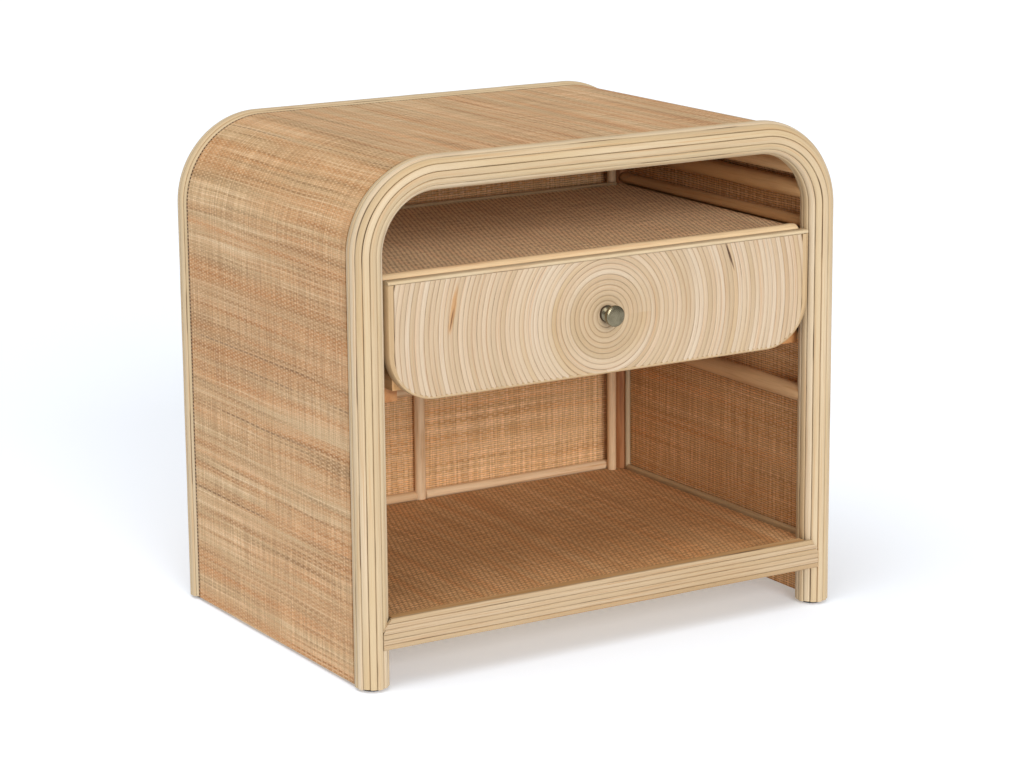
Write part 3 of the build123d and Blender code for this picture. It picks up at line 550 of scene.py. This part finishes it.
def arch_reed(piece, arch_y, face, index, line, cut=None):
    """One reed along a stretch of the arch's centre line."""
    angle = REED_START + index * REED_TURN
    outward = np.stack([line[:, 2], np.zeros(len(line)), line[:, 3]], axis=1)
    centre = np.stack([line[:, 0], np.full(len(line), arch_y), line[:, 1]], axis=1)
    toward = np.array([0.0, face, 0.0])
    up = math.sin(angle) * outward + math.cos(angle) * toward
    seed = index * 10 + (3 if face > 0 else 0)
    along = lengths(centre)
    width = 1 + wander(along, 0.03, 0.16, seed)
    height = 1 + wander(along, 0.006, 0.12, seed + 1)
    side = np.cross(directions(centre), up)
    centre = centre + side * wander(along, 0.12 * MM, 0.2, seed + 2)[:, None]
    rings, values = sweep(centre, up, ARCH_REED, along, rng.random(), side, width, height)
    if cut is not None:
        cut(rings)
    piece.loft(rings, values)


def tuck_behind_rail(rings):
    """Carries both ends of an inward reed down behind the rail."""
    for end in (rings[0], rings[-1]):
        end[:, 2] = RAIL_TOP - TUCK


def trim_to_mitre(rings):
    """Slants both ends of a reed that stands on the rail."""
    for end in (rings[0], rings[-1]):
        end[:, 2] = np.clip(mitre_height(end[:, 0]), RAIL_Z + 10 * MM, RAIL_TOP)


front_reeds = Piece("front_arch_split_reeds", "stick")
for index in range(-5, 6):
    if index >= 0:
        arch_reed(front_reeds, FRONT_ARCH_Y, -1, index, arch_line(FOOT_Z + 0.5 * MM * (index % 3)))
        continue
    # the inner reeds stop at the rail and go on under it
    cut = tuck_behind_rail if index < -3 else trim_to_mitre
    arch_reed(front_reeds, FRONT_ARCH_Y, -1, index, arch_line(RAIL_TOP + 4 * MM), cut)
    heights = spaced(FOOT_Z + 0.4 * MM * (-index % 3), RAIL_Z - 0.2 * MM, 8 * MM)
    for post in (-1, 1):
        stub = np.array([(post * POST_X, z, post, 0.0) for z in heights])
        arch_reed(front_reeds, FRONT_ARCH_Y, -1, index, stub)
front_reeds.make(reed_look, "cabinet", "split_reed", "front_arch_reeds")

back_reeds = Piece("back_arch_split_reeds", "stick")
for index in range(-2, 6):
    arch_reed(back_reeds, BACK_ARCH_Y, 1, index, arch_line(FOOT_Z + 0.5 * MM * (index % 3)))
back_reeds.make(reed_look, "cabinet", "split_reed", "back_arch_reeds")

# ---------------------------------------------------------------- reeds of the front rail
RAIL_PITCH = (RAIL_TOP - RAIL_Z) / RAIL_REEDS
RAIL_REED = crown_profile(RAIL_PITCH / 2, 0.0, -1.4 * MM, -4.3 * MM)
rail_reeds = Piece("front_rail_split_reeds", "stick")
for index in range(RAIL_REEDS):
    z = RAIL_TOP - (index + 0.5) * RAIL_PITCH
    x = spaced(-RAIL_END, RAIL_END, 9 * MM)
    bow = wander(x, 0.15 * MM, 0.3, 70 + index)
    path = np.stack([x, np.full(len(x), rail_low.y), z + bow], axis=1)
    forward = np.tile([0.0, -1.0, 0.0], (len(x), 1))
    width = 1 + wander(x, 0.03, 0.2, 80 + index)
    rings, values = sweep(path, forward, RAIL_REED, own=rng.random(), width=width)
    overlap = 3.0 * MM if index < 2 else -0.1 * MM  # the upper two close the joint's corner
    for end, sign in ((rings[0], -1), (rings[-1], 1)):
        reach = RAIL_END - MITRE_INSET + (MITRE_Z - end[:, 2]) / MITRE_SLOPE
        end[:, 0] = sign * np.minimum(reach + overlap, RAIL_END)
    rail_reeds.loft(rings, values)
rail_reeds.make(rail_look, "cabinet", "split_reed", "front_rail_reeds")

# ---------------------------------------------------------------- drawer front
board_low, board_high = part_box("drawer_front_board")
face_low, face_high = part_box("drawer_ring_reeds")
knob_low, knob_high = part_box("knob")
bind_low, bind_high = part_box("drawer_edge_binding")
FACE_Y = face_low.y
KNOB_Z = (knob_low.z + knob_high.z) / 2
FACE_HALF = face_high.x
RING_Z = KNOB_Z - 3.5 * MM  # in the photo the knob sits a little above the rings' centre
FACE_TOP = face_high.z - RING_Z
BOARD_HALF = board_high.x
FACE_LOW = board_low.z - RING_Z
CORNER_R = 53.4 * MM  # lower corners of the drawer's face
RINGS = 45  # reeds from the rings' centre to the drawer's side
RING_PITCH = FACE_HALF / RINGS


def inside_board(x, z):
    """True within the drawer board's lower half, whose corners are round."""
    corner_x, corner_z = BOARD_HALF - CORNER_R, FACE_LOW + CORNER_R
    if x > corner_x and z < corner_z:
        return math.hypot(x - corner_x, z - corner_z) < CORNER_R
    return z > FACE_LOW and x < BOARD_HALF


def lower_limit(radius):
    """Angle below the X axis at which a circle round the rings' centre leaves the board."""
    if inside_board(0.0, -radius):
        return math.pi / 2
    low, high = 0.0, math.pi / 2
    for _ in range(40):
        middle = (low + high) / 2
        if inside_board(radius * math.cos(middle), -radius * math.sin(middle)):
            low = middle
        else:
            high = middle
    return low


def ring_limits(radius):
    """The angles between which a ring shows, on the right half: (lowest, highest)."""
    top = math.pi / 2 if radius <= FACE_TOP else math.asin(FACE_TOP / radius)
    if radius > FACE_HALF:
        return math.acos(FACE_HALF / radius), top
    return -lower_limit(radius), top


FACE_REED_BACK = -3.95 * MM  # from the reeds' crowns to the drawer board
RING_PROFILE = crown_profile(RING_PITCH / 2, 0.0, -1.2 * MM, FACE_REED_BACK)
RING_STEP = 4.5 * MM  # between the stations along a ring


def ring_reed(piece, index, mirror, seed):
    """Half of a ring, clipped to the board; mirror is -1 on the left."""
    middle = (index + 0.5) * RING_PITCH
    radii = middle + RING_PROFILE[:, 0]
    limits = np.array([ring_limits(r) for r in radii])
    span = (limits[:, 1] - limits[:, 0]).max() * middle
    parts = np.linspace(0, 1, max(5, int(span / RING_STEP)))
    angles = limits[None, :, 0] + parts[:, None] * (limits[:, 1] - limits[:, 0])[None, :]
    along = angles.mean(axis=1) * middle
    ripple = wander(along, 0.10 * MM, 0.09, seed)[:, None]
    swell = 1 + wander(along, 0.02, 0.12, seed + 1)[:, None]
    reach = middle + (radii - middle)[None, :] * swell + ripple
    lift = wander(along, 0.12 * MM, 0.15, seed + 2)[:, None] - 0.12 * MM
    rings = np.empty((*angles.shape, 3))
    rings[..., 0] = mirror * reach * np.cos(angles)
    rings[..., 1] = FACE_Y - RING_PROFILE[:, 1][None, :] - lift
    rings[..., 2] = RING_Z + reach * np.sin(angles)
    values = np.empty_like(rings)
    values[..., 0] = along[:, None] * mirror + index * 0.37
    values[..., 1] = (RING_PROFILE[:, 0] / RING_PROFILE[:, 0].max())[None, :]
    values[..., 2] = seed % 97 / 97
    piece.loft(rings if mirror > 0 else rings[::-1], values if mirror > 0 else values[::-1])


def whole_ring(piece, index, seed):
    """A ring that lies on the board all the way round."""
    middle = (index + 0.5) * RING_PITCH
    angles = np.linspace(0, 2 * math.pi, max(40, int(2 * math.pi * middle / RING_STEP)))
    side = np.stack([np.cos(angles), np.zeros(len(angles)), np.sin(angles)], axis=1)
    centre = np.array([0.0, FACE_Y, RING_Z]) + middle * side
    up = np.tile([0.0, -1.0, 0.0], (len(angles), 1))
    rings, values = sweep(centre, up, RING_PROFILE, middle * angles, seed % 97 / 97, side)
    piece.loft(rings, values)


ring_reeds = Piece("drawer_ring_split_reeds", "stick")
for index in range(1, RINGS + 1):
    seed = rng.randrange(1000)
    if (index + 1) * RING_PITCH < min(FACE_TOP, -FACE_LOW):
        whole_ring(ring_reeds, index, seed)
        continue
    for mirror in (-1, 1):
        ring_reed(ring_reeds, index, mirror, seed + 50 * (mirror > 0))
ring_reeds.make(ring_look, "drawer", "split_reed", "drawer_ring_reeds")

# Trims of the drawer front
top_low, top_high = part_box("drawer_top_trim")
depth = top_high.y - top_low.y
tall = top_high.z - top_low.z
soft = 1.6 * MM
TOP_PROFILE = np.array(
    [(0, 0), (depth - soft, 0), (depth - 0.4 * MM, 0.5 * MM), (depth, soft), (depth, tall - soft)]
    + [(depth - 0.5 * MM, tall - 0.5 * MM), (depth - soft, tall), (0.5 * MM, tall), (0, tall - 0.5 * MM)]
)
x = spaced(top_low.x, top_high.x, 10 * MM)
path = np.stack([x, np.full(len(x), top_high.y), top_low.z + wander(x, 0.1 * MM, 0.3, 5) - 0.1 * MM], axis=1)
up = np.tile([0.0, 0.0, 1.0], (len(x), 1))
rings, values = sweep(path, up, TOP_PROFILE, own=0.35, side=np.tile([0.0, -1.0, 0.0], (len(x), 1)))
# Dust and painted shade sit at -1 and 1 across a stick; this trim stays short of both.
values[..., 1] = values[..., 1] * 1.4 - 0.7  # short of -1 and 1, where joints are dark
top_trim = Piece("drawer_top_reed", "stick")
top_trim.loft(rings[:, ::-1], values[:, ::-1])
top_trim.make(reed_look, "drawer", "split_reed", "drawer_top_trim")

SIDE_W = BOARD_HALF - FACE_HALF - 0.1 * MM
SIDE_PROFILE = crown_profile(SIDE_W / 2, 0.0, -1.8 * MM, FACE_REED_BACK)
SIDE_TURN = math.radians(52)  # how far the side reeds follow the lower corners
SIDE_TAPER = 0.82  # of their width is gone at that end
side_trims = Piece("drawer_side_reeds", "stick")
for sx in (-1, 1):
    corner_x, corner_z = BOARD_HALF - CORNER_R, FACE_LOW + CORNER_R + RING_Z
    straight = spaced(face_high.z, corner_z, 8 * MM)
    bend = spaced(0, SIDE_TURN, 0.09)[1:]
    turns = np.concatenate([np.zeros(len(straight)), bend])
    shrink = 1 - SIDE_TAPER * turns / SIDE_TURN
    edge_x = corner_x + CORNER_R * np.cos(turns)
    edge_z = np.concatenate([straight, corner_z - CORNER_R * np.sin(bend)])
    out = np.stack([np.cos(turns), np.zeros(len(turns)), -np.sin(turns)], axis=1)
    path = np.stack([edge_x, np.full(len(turns), FACE_Y), edge_z], axis=1)
    path -= out * (SIDE_W / 2 * shrink)[:, None]
    path[:, 0] *= sx
    out[:, 0] *= sx
    forward = np.tile([0.0, -1.0, 0.0], (len(path), 1))
    rings, values = sweep(path, forward, SIDE_PROFILE, own=0.2 + 0.3 * (sx > 0), side=out * sx, width=shrink)
    side_trims.loft(rings[:, ::-1], values[:, ::-1])
side_trims.make(trim_look, "drawer", "split_reed", "drawer_side_trims")


def binding_line():
    """The drawer outline down one side, along the bottom and up the other, with its outward side."""
    radius = 55 * MM
    half, low = bind_high.x, bind_low.z
    centre_x, centre_z = half - radius, low + radius
    turn = spaced(0, math.pi / 2, 0.06)[1:]
    points = [(-half, z, -1.0, 0.0) for z in spaced(bind_high.z, centre_z, 10 * MM)]
    points += bend_points(centre_x, centre_z, radius, -1, -1, turn)
    points += [(x, low, 0.0, -1.0) for x in spaced(-centre_x, centre_x, 10 * MM)[1:]]
    points += bend_points(centre_x, centre_z, radius, 1, -1, math.pi / 2 - turn)
    points += [(half, z, 1.0, 0.0) for z in spaced(centre_z, bind_high.z, 10 * MM)[1:]]
    return np.array(points)


line = binding_line()
band_front = FACE_Y + 0.25 * MM
path = np.stack([line[:, 0], np.full(len(line), band_front), line[:, 1]], axis=1)
out = np.stack([line[:, 2], np.zeros(len(line)), line[:, 3]], axis=1)
band = 3.4 * MM
wide = bind_high.y - band_front
BAND_PROFILE = np.array(
    [(0.5 * MM, -band), (0, -band + 0.4 * MM), (0, -0.5 * MM), (0.5 * MM, 0), (wide, 0), (wide, -band)]
)
back_side = np.tile([0.0, 1.0, 0.0], (len(path), 1))
rings, values = sweep(path, out, BAND_PROFILE, own=0.1, side=back_side)
# Dust and painted shade along the inner edge only, where the band meets the rings.
values[..., 1] = (1.0, 1.0, 0.2, 0.0, 0.0, 1.0)  # dark along the inner edge only
binding = Piece("drawer_edge_band", "stick")
binding.loft(rings, values)
binding.make(trim_look, "drawer", "split_reed", "drawer_edge_binding")


# ---------------------------------------------------------------- poles
POLE_FIT = 0.985  # of the CAD pole's radius, since its nodes swell a little past that


def pole_rings(start, end, radius, own, rounded=0.8 * MM):
    """A rattan pole from start to end: a little bent, with swollen nodes and eased ends."""
    start, end = np.array(start), np.array(end)
    length = np.linalg.norm(end - start)
    axis = (end - start) / length
    body = spaced(rounded, length - rounded, 7 * MM)
    at = np.concatenate([[0.0, rounded * 0.3], body, [length - rounded * 0.3, length]])
    seed = int(own * 1000)
    draw = random.Random(seed)
    swell = np.ones(len(at))
    place = draw.uniform(0.04, 0.16)
    while place < length:
        swell += 0.05 * np.exp(-(((at - place) / (4 * MM)) ** 2))
        place += draw.uniform(0.15, 0.26)
    swell += wander(at, 0.012, 0.2, seed)
    ease = min(0.6, rounded / radius)
    swell[[0, -1]] *= 1 - ease
    swell[[1, -2]] *= 1 - 0.35 * ease
    first = np.cross(axis, [0.0, 0.0, 1.0] if abs(axis[2]) < 0.5 else [0.0, 1.0, 0.0])
    first /= np.linalg.norm(first)
    second = np.cross(axis, first)
    path = start + axis * at[:, None]
    path += first * wander(at, 0.35 * MM, 0.4, seed + 1)[:, None]
    up, side = (np.tile(vector, (len(at), 1)) for vector in (second, first))
    rings, values = sweep(path, up, round_profile(radius), at, own, side, swell, swell)
    values[..., 1] = np.sin(np.linspace(0, 2 * math.pi, rings.shape[1], endpoint=False))[None, :] * 0.68
    return rings, values


def replace_pole(node, look=pole_look, extra=2 * MM, rounded=0.8 * MM):
    """Stands a natural pole in for a CAD pole, along its longest side."""
    low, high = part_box(node)
    size = high - low
    axis = max(range(3), key=lambda i: size[i])
    others = [i for i in range(3) if i != axis]
    radius = min(size[i] for i in others) / 2
    start, end = (low + high) / 2, (low + high) / 2
    start[axis], end[axis] = low[axis] - extra, high[axis] + extra
    piece = Piece(node + "_rattan", "stick")
    piece.loft(*pole_rings(start, end, radius * POLE_FIT, rng.random(), rounded))
    piece.make(look, "cabinet", "rattan_pole", node)


for kind in ("corner_pole", "upper_side_pole", "shelf_edge_pole", "runner_pole", "stretcher_pole"):
    for side in ("left", "right"):
        replace_pole(f"{kind}_{side}")
for side in ("left", "right"):
    replace_pole(f"back_corner_pole_{side}", back_pole_lit_look, extra=0)
replace_pole("back_centre_pole", back_pole_lit_look, extra=0)
replace_pole("upper_shelf_front_pole", front_pole_look, extra=0, rounded=3 * MM)

centre_low, centre_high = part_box("back_centre_pole")
for node in ("back_bottom_poles", "back_middle_poles"):
    low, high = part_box(node)
    radius = (high.z - low.z) / 2 * POLE_FIT
    y, z = (low.y + high.y) / 2, (low.z + high.z) / 2
    cross = Piece(node + "_rattan", "stick")
    cross.loft(*pole_rings((low.x, y, z), (centre_low.x, y, z), radius, rng.random()))
    cross.loft(*pole_rings((centre_high.x, y, z), (high.x, y, z), radius, rng.random()))
    cross.make(back_pole_lit_look, "cabinet", "rattan_pole", node)


# ---------------------------------------------------------------- trims on the shelves and in the corners
def straight_reed(name, node, start, end, profile, up, look):
    """A straight reed that stands in for a CAD trim."""
    start, end = np.array(start), np.array(end)
    parts = spaced(0, np.linalg.norm(end - start), 9 * MM)
    axis = (end - start) / np.linalg.norm(end - start)
    path = start + axis * parts[:, None]
    up = np.tile(up, (len(parts), 1)).astype(float)
    side = np.cross(np.tile(axis, (len(parts), 1)), up)
    own = rng.random()
    path += side * wander(parts, 0.12 * MM, 0.3, int(own * 999))[:, None]
    rings, values = sweep(path, up, profile, parts, own, side, 1 + wander(parts, 0.03, 0.2, 11))
    piece = Piece(name, "stick")
    piece.loft(rings, values)
    piece.make(look, "cabinet", "split_reed", node)


UPWARD, BACKWARD = (0, 0, 1), (0, 1, 0)
for side in ("left", "right"):
    node = f"lower_shelf_trim_{side}"
    low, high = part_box(node)
    x = (low.x + high.x) / 2
    profile = crown_profile((high.x - low.x) / 2, high.z - low.z, 1.5 * MM, 0.0)
    ends = (x, low.y, low.z), (x, high.y, low.z)
    straight_reed(f"shelf_wall_reed_{side}", node, *ends, profile, UPWARD, trim_look)
    node = f"corner_reed_{side}"
    low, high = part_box(node)
    x, y = (low.x + high.x) / 2, (low.y + high.y) / 2
    profile = round_profile((high.x - low.x) / 2, 14)
    ends = (x, y, low.z), (x, y, high.z)
    straight_reed(f"back_corner_reed_{side}", node, *ends, profile, BACKWARD, reed_look)

low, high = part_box("upper_shelf_back_trim")
y = (low.y + high.y) / 2
profile = crown_profile((high.y - low.y) / 2, high.z - low.z, 0.8 * MM, 0.0)
ends = (low.x, y, low.z), (high.x, y, low.z)
straight_reed("shelf_back_reed", "upper_shelf_back_trim", *ends, profile, UPWARD, trim_look)


# ---------------------------------------------------------------- woven sheets
SHEET = 1.4 * MM  # thickness of the back's and the shelves' sheets


def sheet_piece(name, node, surface, rows, columns, look, thickness):
    """A woven sheet: surface(row, column) gives a point, its outward side and weave coordinates."""
    cells = [[surface(r, c) for c in columns] for r in rows]
    points = np.array([[cell[0] for cell in row] for row in cells])
    sides = np.array([[cell[1] for cell in row] for row in cells])
    weave = np.array([[(*cell[2], 0.0) for cell in row] for row in cells])
    back = points - sides * thickness
    rings = np.concatenate([points, back[:, ::-1]], axis=1)
    values = np.concatenate([weave, weave[:, ::-1]], axis=1)
    piece = Piece(name, "weave")
    piece.loft(rings, values)
    piece.make(look, "cabinet", "woven_cane", node, sharp=40)


def shell_sheet(name, node, outside, look):
    """The woven skin over or under the curved board."""
    low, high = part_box(node)
    thickness = 1.5 * MM
    reach = high.x - POST_X - (0 if outside else thickness)
    line = arch_line(low.z, 12 * MM, 5 * MM)
    path = line[:, :2] + line[:, 2:] * reach
    run = lengths(path)
    sign = 1 if outside else -1

    def surface(row, y):
        x, z = path[row]
        out = np.array([line[row, 2], 0.0, line[row, 3]]) * sign
        wave = math.sin(run[row] * 31 + 2) * math.sin(y * 37 + row * 0.05) * 0.12 * MM - 0.12 * MM
        return np.array([x, y, z]) + out * wave, out, (y, run[row])

    columns = spaced(high.y, low.y, 12 * MM) if outside else spaced(low.y, high.y, 12 * MM)
    sheet_piece(name, node, surface, range(len(path)), columns, look, thickness - 0.3 * MM)


shell_sheet("woven_outer_skin", "outer_weave", True, outer_look)
shell_sheet("woven_inner_lining", "inner_weave", False, inner_look)


def back_sheet(name, node, facing, look):
    """A woven sheet of the back panel; facing is -1 towards the room inside."""
    low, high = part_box(node)
    radius = high.x - BEND_X
    face_y = low.y if facing < 0 else high.y

    def half_width(z):
        above = z - BEND_Z
        return high.x if above <= 0 else BEND_X + math.sqrt(max(radius**2 - above**2, 0.0))

    def surface(z, part):
        x = part * half_width(z)
        return np.array([x, face_y, z]), np.array([0.0, facing, 0.0]), (x, z)

    rise = spaced(low.z, BEND_Z, 12 * MM)
    arc = BEND_Z + radius * np.sin(spaced(0, math.pi / 2, 0.08)[1:])
    columns = spaced(-1, 1, 0.05) if facing < 0 else spaced(1, -1, 0.05)
    rows = np.concatenate([rise, np.minimum(arc, high.z)])
    sheet_piece(name, node, surface, rows, columns, look, SHEET)


back_sheet("back_woven_lining", "back_weave_inner", -1, back_look)
back_sheet("back_woven_skin", "back_weave_outer", 1, back_look)


def shelf_sheet(name, node, look):
    """The woven top of a shelf, notched round the posts."""
    low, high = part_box(node)

    def half_width(y):
        half = high.x
        for post_y, radius in ((FRONT_ARCH_Y, ARCH_R), (BACK_ARCH_Y, CORE_R)):
            near = radius**2 - (y - post_y) ** 2
            if near > 0:
                half = min(half, POST_X - math.sqrt(near))
        return half

    def surface(y, part):
        x = part * half_width(y)
        sag = -0.25 * MM * math.cos(part * math.pi / 2)
        return np.array([x, y, high.z + sag]), np.array([0.0, 0.0, 1.0]), (y, x)

    near_front = spaced(low.y, FRONT_ARCH_Y + ARCH_R + 2 * MM, 1.5 * MM)
    middle = spaced(near_front[-1], BACK_ARCH_Y - CORE_R - 2 * MM, 12 * MM)[1:]
    near_back = spaced(middle[-1], high.y, 1.5 * MM)[1:]
    rows = np.concatenate([near_front, middle, near_back])
    sheet_piece(name, node, surface, rows, spaced(-1, 1, 0.04), look, SHEET)


shelf_sheet("upper_shelf_woven_top", "upper_shelf_weave", upper_shelf_lit_look)
shelf_sheet("lower_shelf_woven_top", "lower_shelf_weave", lower_shelf_look)


# ---------------------------------------------------------------- knob
def lathe(name, node, profile, look):
    """Turns (radius, y) pairs round the knob's axis."""
    angles = np.linspace(0, 2 * math.pi, 72, endpoint=False)
    radii = np.array([p[0] for p in profile])
    ys = np.array([p[1] for p in profile])
    rings = np.empty((len(profile), len(angles), 3))
    rings[..., 0] = radii[:, None] * np.cos(angles)[None, :]
    rings[..., 1] = ys[:, None]
    rings[..., 2] = KNOB_Z + radii[:, None] * np.sin(angles)[None, :]
    piece = Piece(name, "stick")
    piece.loft(rings, np.zeros_like(rings))
    piece.make(look, "drawer", "nickel", node, sharp=35)


def bevelled(radius, y, size, steps=4):
    """Points that round an outer edge from the face at y back along the side."""
    turns = np.linspace(0, math.pi / 2, steps)
    return [(radius - size * (1 - math.sin(a)), y + size * (1 - math.cos(a))) for a in turns]


AXIS_R = 0.2 * MM  # the smallest radius, so that no face shrinks to a point
HEAD_DEPTH = 5.5 * MM
DOME_DEPTH = 1.5 * MM
NECK_R = 5.6 * MM
NECK_FLARE = 2.4 * MM
face_y = knob_low.y
knob_r = knob_high.x
head_back = face_y + HEAD_DEPTH
dome_radii = np.linspace(AXIS_R, knob_r - 1.1 * MM, 9)
dome = [(r, face_y + DOME_DEPTH * (r / knob_r) ** 2) for r in dome_radii]
head = dome + bevelled(knob_r, dome[-1][1] + 0.1 * MM, 1.0 * MM, 6)
head += [(knob_r, head_back - 0.8 * MM), (knob_r - 0.3 * MM, head_back - 0.2 * MM)]
head.append((knob_r - 1.2 * MM, head_back))
for part in np.linspace(0, 1, 9):
    neck = NECK_R + NECK_FLARE * (2 * part - 0.9) ** 2
    head.append((neck, head_back + 0.4 * MM + part * (knob_high.y - head_back - 0.4 * MM)))
lathe("knob_turned", "knob", head, nickel_look)

rosette_low, rosette_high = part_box("knob_rosette")
plate_r = rosette_high.x
plate = [(AXIS_R, rosette_low.y)] + bevelled(plate_r, rosette_low.y, 1.4 * MM, 6)
plate.append((plate_r, rosette_high.y))
# The plate under the knob, painted dark as the shade under the head.
lathe("knob_plate", "knob_rosette", plate, shaded_plate_look)


# ---------------------------------------------------------------- materials of the CAD nodes that stay
def core_material():
    """Bare rattan with upright grain, seen on the back arch's inner face; its dark reddish tones are partly
    painted shade.
    """
    s = Shader("bare_pole", 0.5, Specular_IOR_Level=0.3)
    split = s.node("SeparateXYZ", {0: s.node("TexCoord").outputs["Object"]})
    stretched = [s.times(place, scale) for place, scale in zip(split.outputs, (160.0, 160.0, 9.0))]
    grain = s.noise(s.vector(*stretched), 4.0, 0.6)
    # Partly painted shade: the dark reddish tones match the shaded strip on the back arch's inner face.
    colour = s.ramp(s.span(grain, 0.25, 0.75), ("8a5530", "a56c40", "b98052"))
    return s.finish(colour, grain, 0.0002, 0.5)


bare_look = core_material()
LOOKS = {
    bare_look: ("front_arch_pole", "back_arch_pole"),
    ply_look: ("shell_board", "back_board", "upper_shelf_board", "lower_shelf_board",
               "drawer_bottom", "drawer_front_board"),
    wood_along_x: ("front_rail", "back_rail", "drawer_back"),
    runner_wood: ("drawer_runner_left", "drawer_runner_right", "drawer_stops"),
    wood_along_y: ("drawer_side_left", "drawer_side_right",
                   "upper_cleat_left", "upper_cleat_right", "lower_cleat_left", "lower_cleat_right"),
    zinc_look: ("runner_screws", "knob_screw"),
    glide_look: ("foot_glides",),
}
for look, names in LOOKS.items():
    for name in names:
        for held in nodes[name].material_slots:
            held.material = look

# ---------------------------------------------------------------- floor, light and camera
bpy.ops.mesh.primitive_plane_add(size=30, location=(0, 0, -0.0002))
floor = bpy.context.object
floor.name = "studio_floor"
floor_look = Shader("studio_white", 0.9)
floor_look.bsdf.inputs["Base Color"].default_value = (0.79, 0.83, 0.89, 1)
floor_look.bsdf.inputs["Emission Color"].default_value = (0.98, 1.0, 1.02, 1)
floor_look.bsdf.inputs["Emission Strength"].default_value = 0.24
floor.data.materials.append(floor_look.material)

bpy.context.scene.view_settings.view_transform = "Standard"
world = bpy.data.worlds.new("studio")
bpy.context.scene.world = world
world.use_nodes = True
world.node_tree.nodes["Background"].inputs["Color"].default_value = (1.0, 1.0, 1.0, 1)
world.node_tree.nodes["Background"].inputs["Strength"].default_value = 0.45


def sun(name, place, strength, softness):
    """Sunlight that comes from the side of place; softness is its width in degrees."""
    data = bpy.data.lights.new(name, "SUN")
    data.energy = strength
    data.angle = math.radians(softness)
    lamp = bpy.data.objects.new(name, data)
    lamp.rotation_euler = Vector(place).to_track_quat("Z", "Y").to_euler()
    bpy.context.scene.collection.objects.link(lamp)


sun("key", (-0.9, -0.4, 2.0), 1.30, 45)
sun("front", (-0.2, -1.0, 0.35), 2.10, 30)

# The camera stands at the front left, a little above, with a long lens.
CAMERA_PLACE = (-1.77357, -2.91700, 1.05302)
CAMERA_YAW = math.radians(31.37)
CAMERA_PITCH = math.radians(13.18)
CAMERA_ROLL = math.radians(0.49)
camera_data = bpy.data.cameras.new("camera")
camera_data.sensor_width = 36
camera_data.lens = 109.16
camera = bpy.data.objects.new("camera", camera_data)
flat = math.cos(CAMERA_PITCH)
ahead = Vector((math.sin(CAMERA_YAW) * flat, math.cos(CAMERA_YAW) * flat, -math.sin(CAMERA_PITCH)))
level = Vector((math.cos(CAMERA_YAW), -math.sin(CAMERA_YAW), 0))
down = ahead.cross(level)
right = math.cos(CAMERA_ROLL) * level + math.sin(CAMERA_ROLL) * down
lower = -math.sin(CAMERA_ROLL) * level + math.cos(CAMERA_ROLL) * down
camera.matrix_world = Matrix.Translation(CAMERA_PLACE) @ Matrix((right, -lower, -ahead)).transposed().to_4x4()
bpy.context.scene.collection.objects.link(camera)
bpy.context.scene.camera = camera
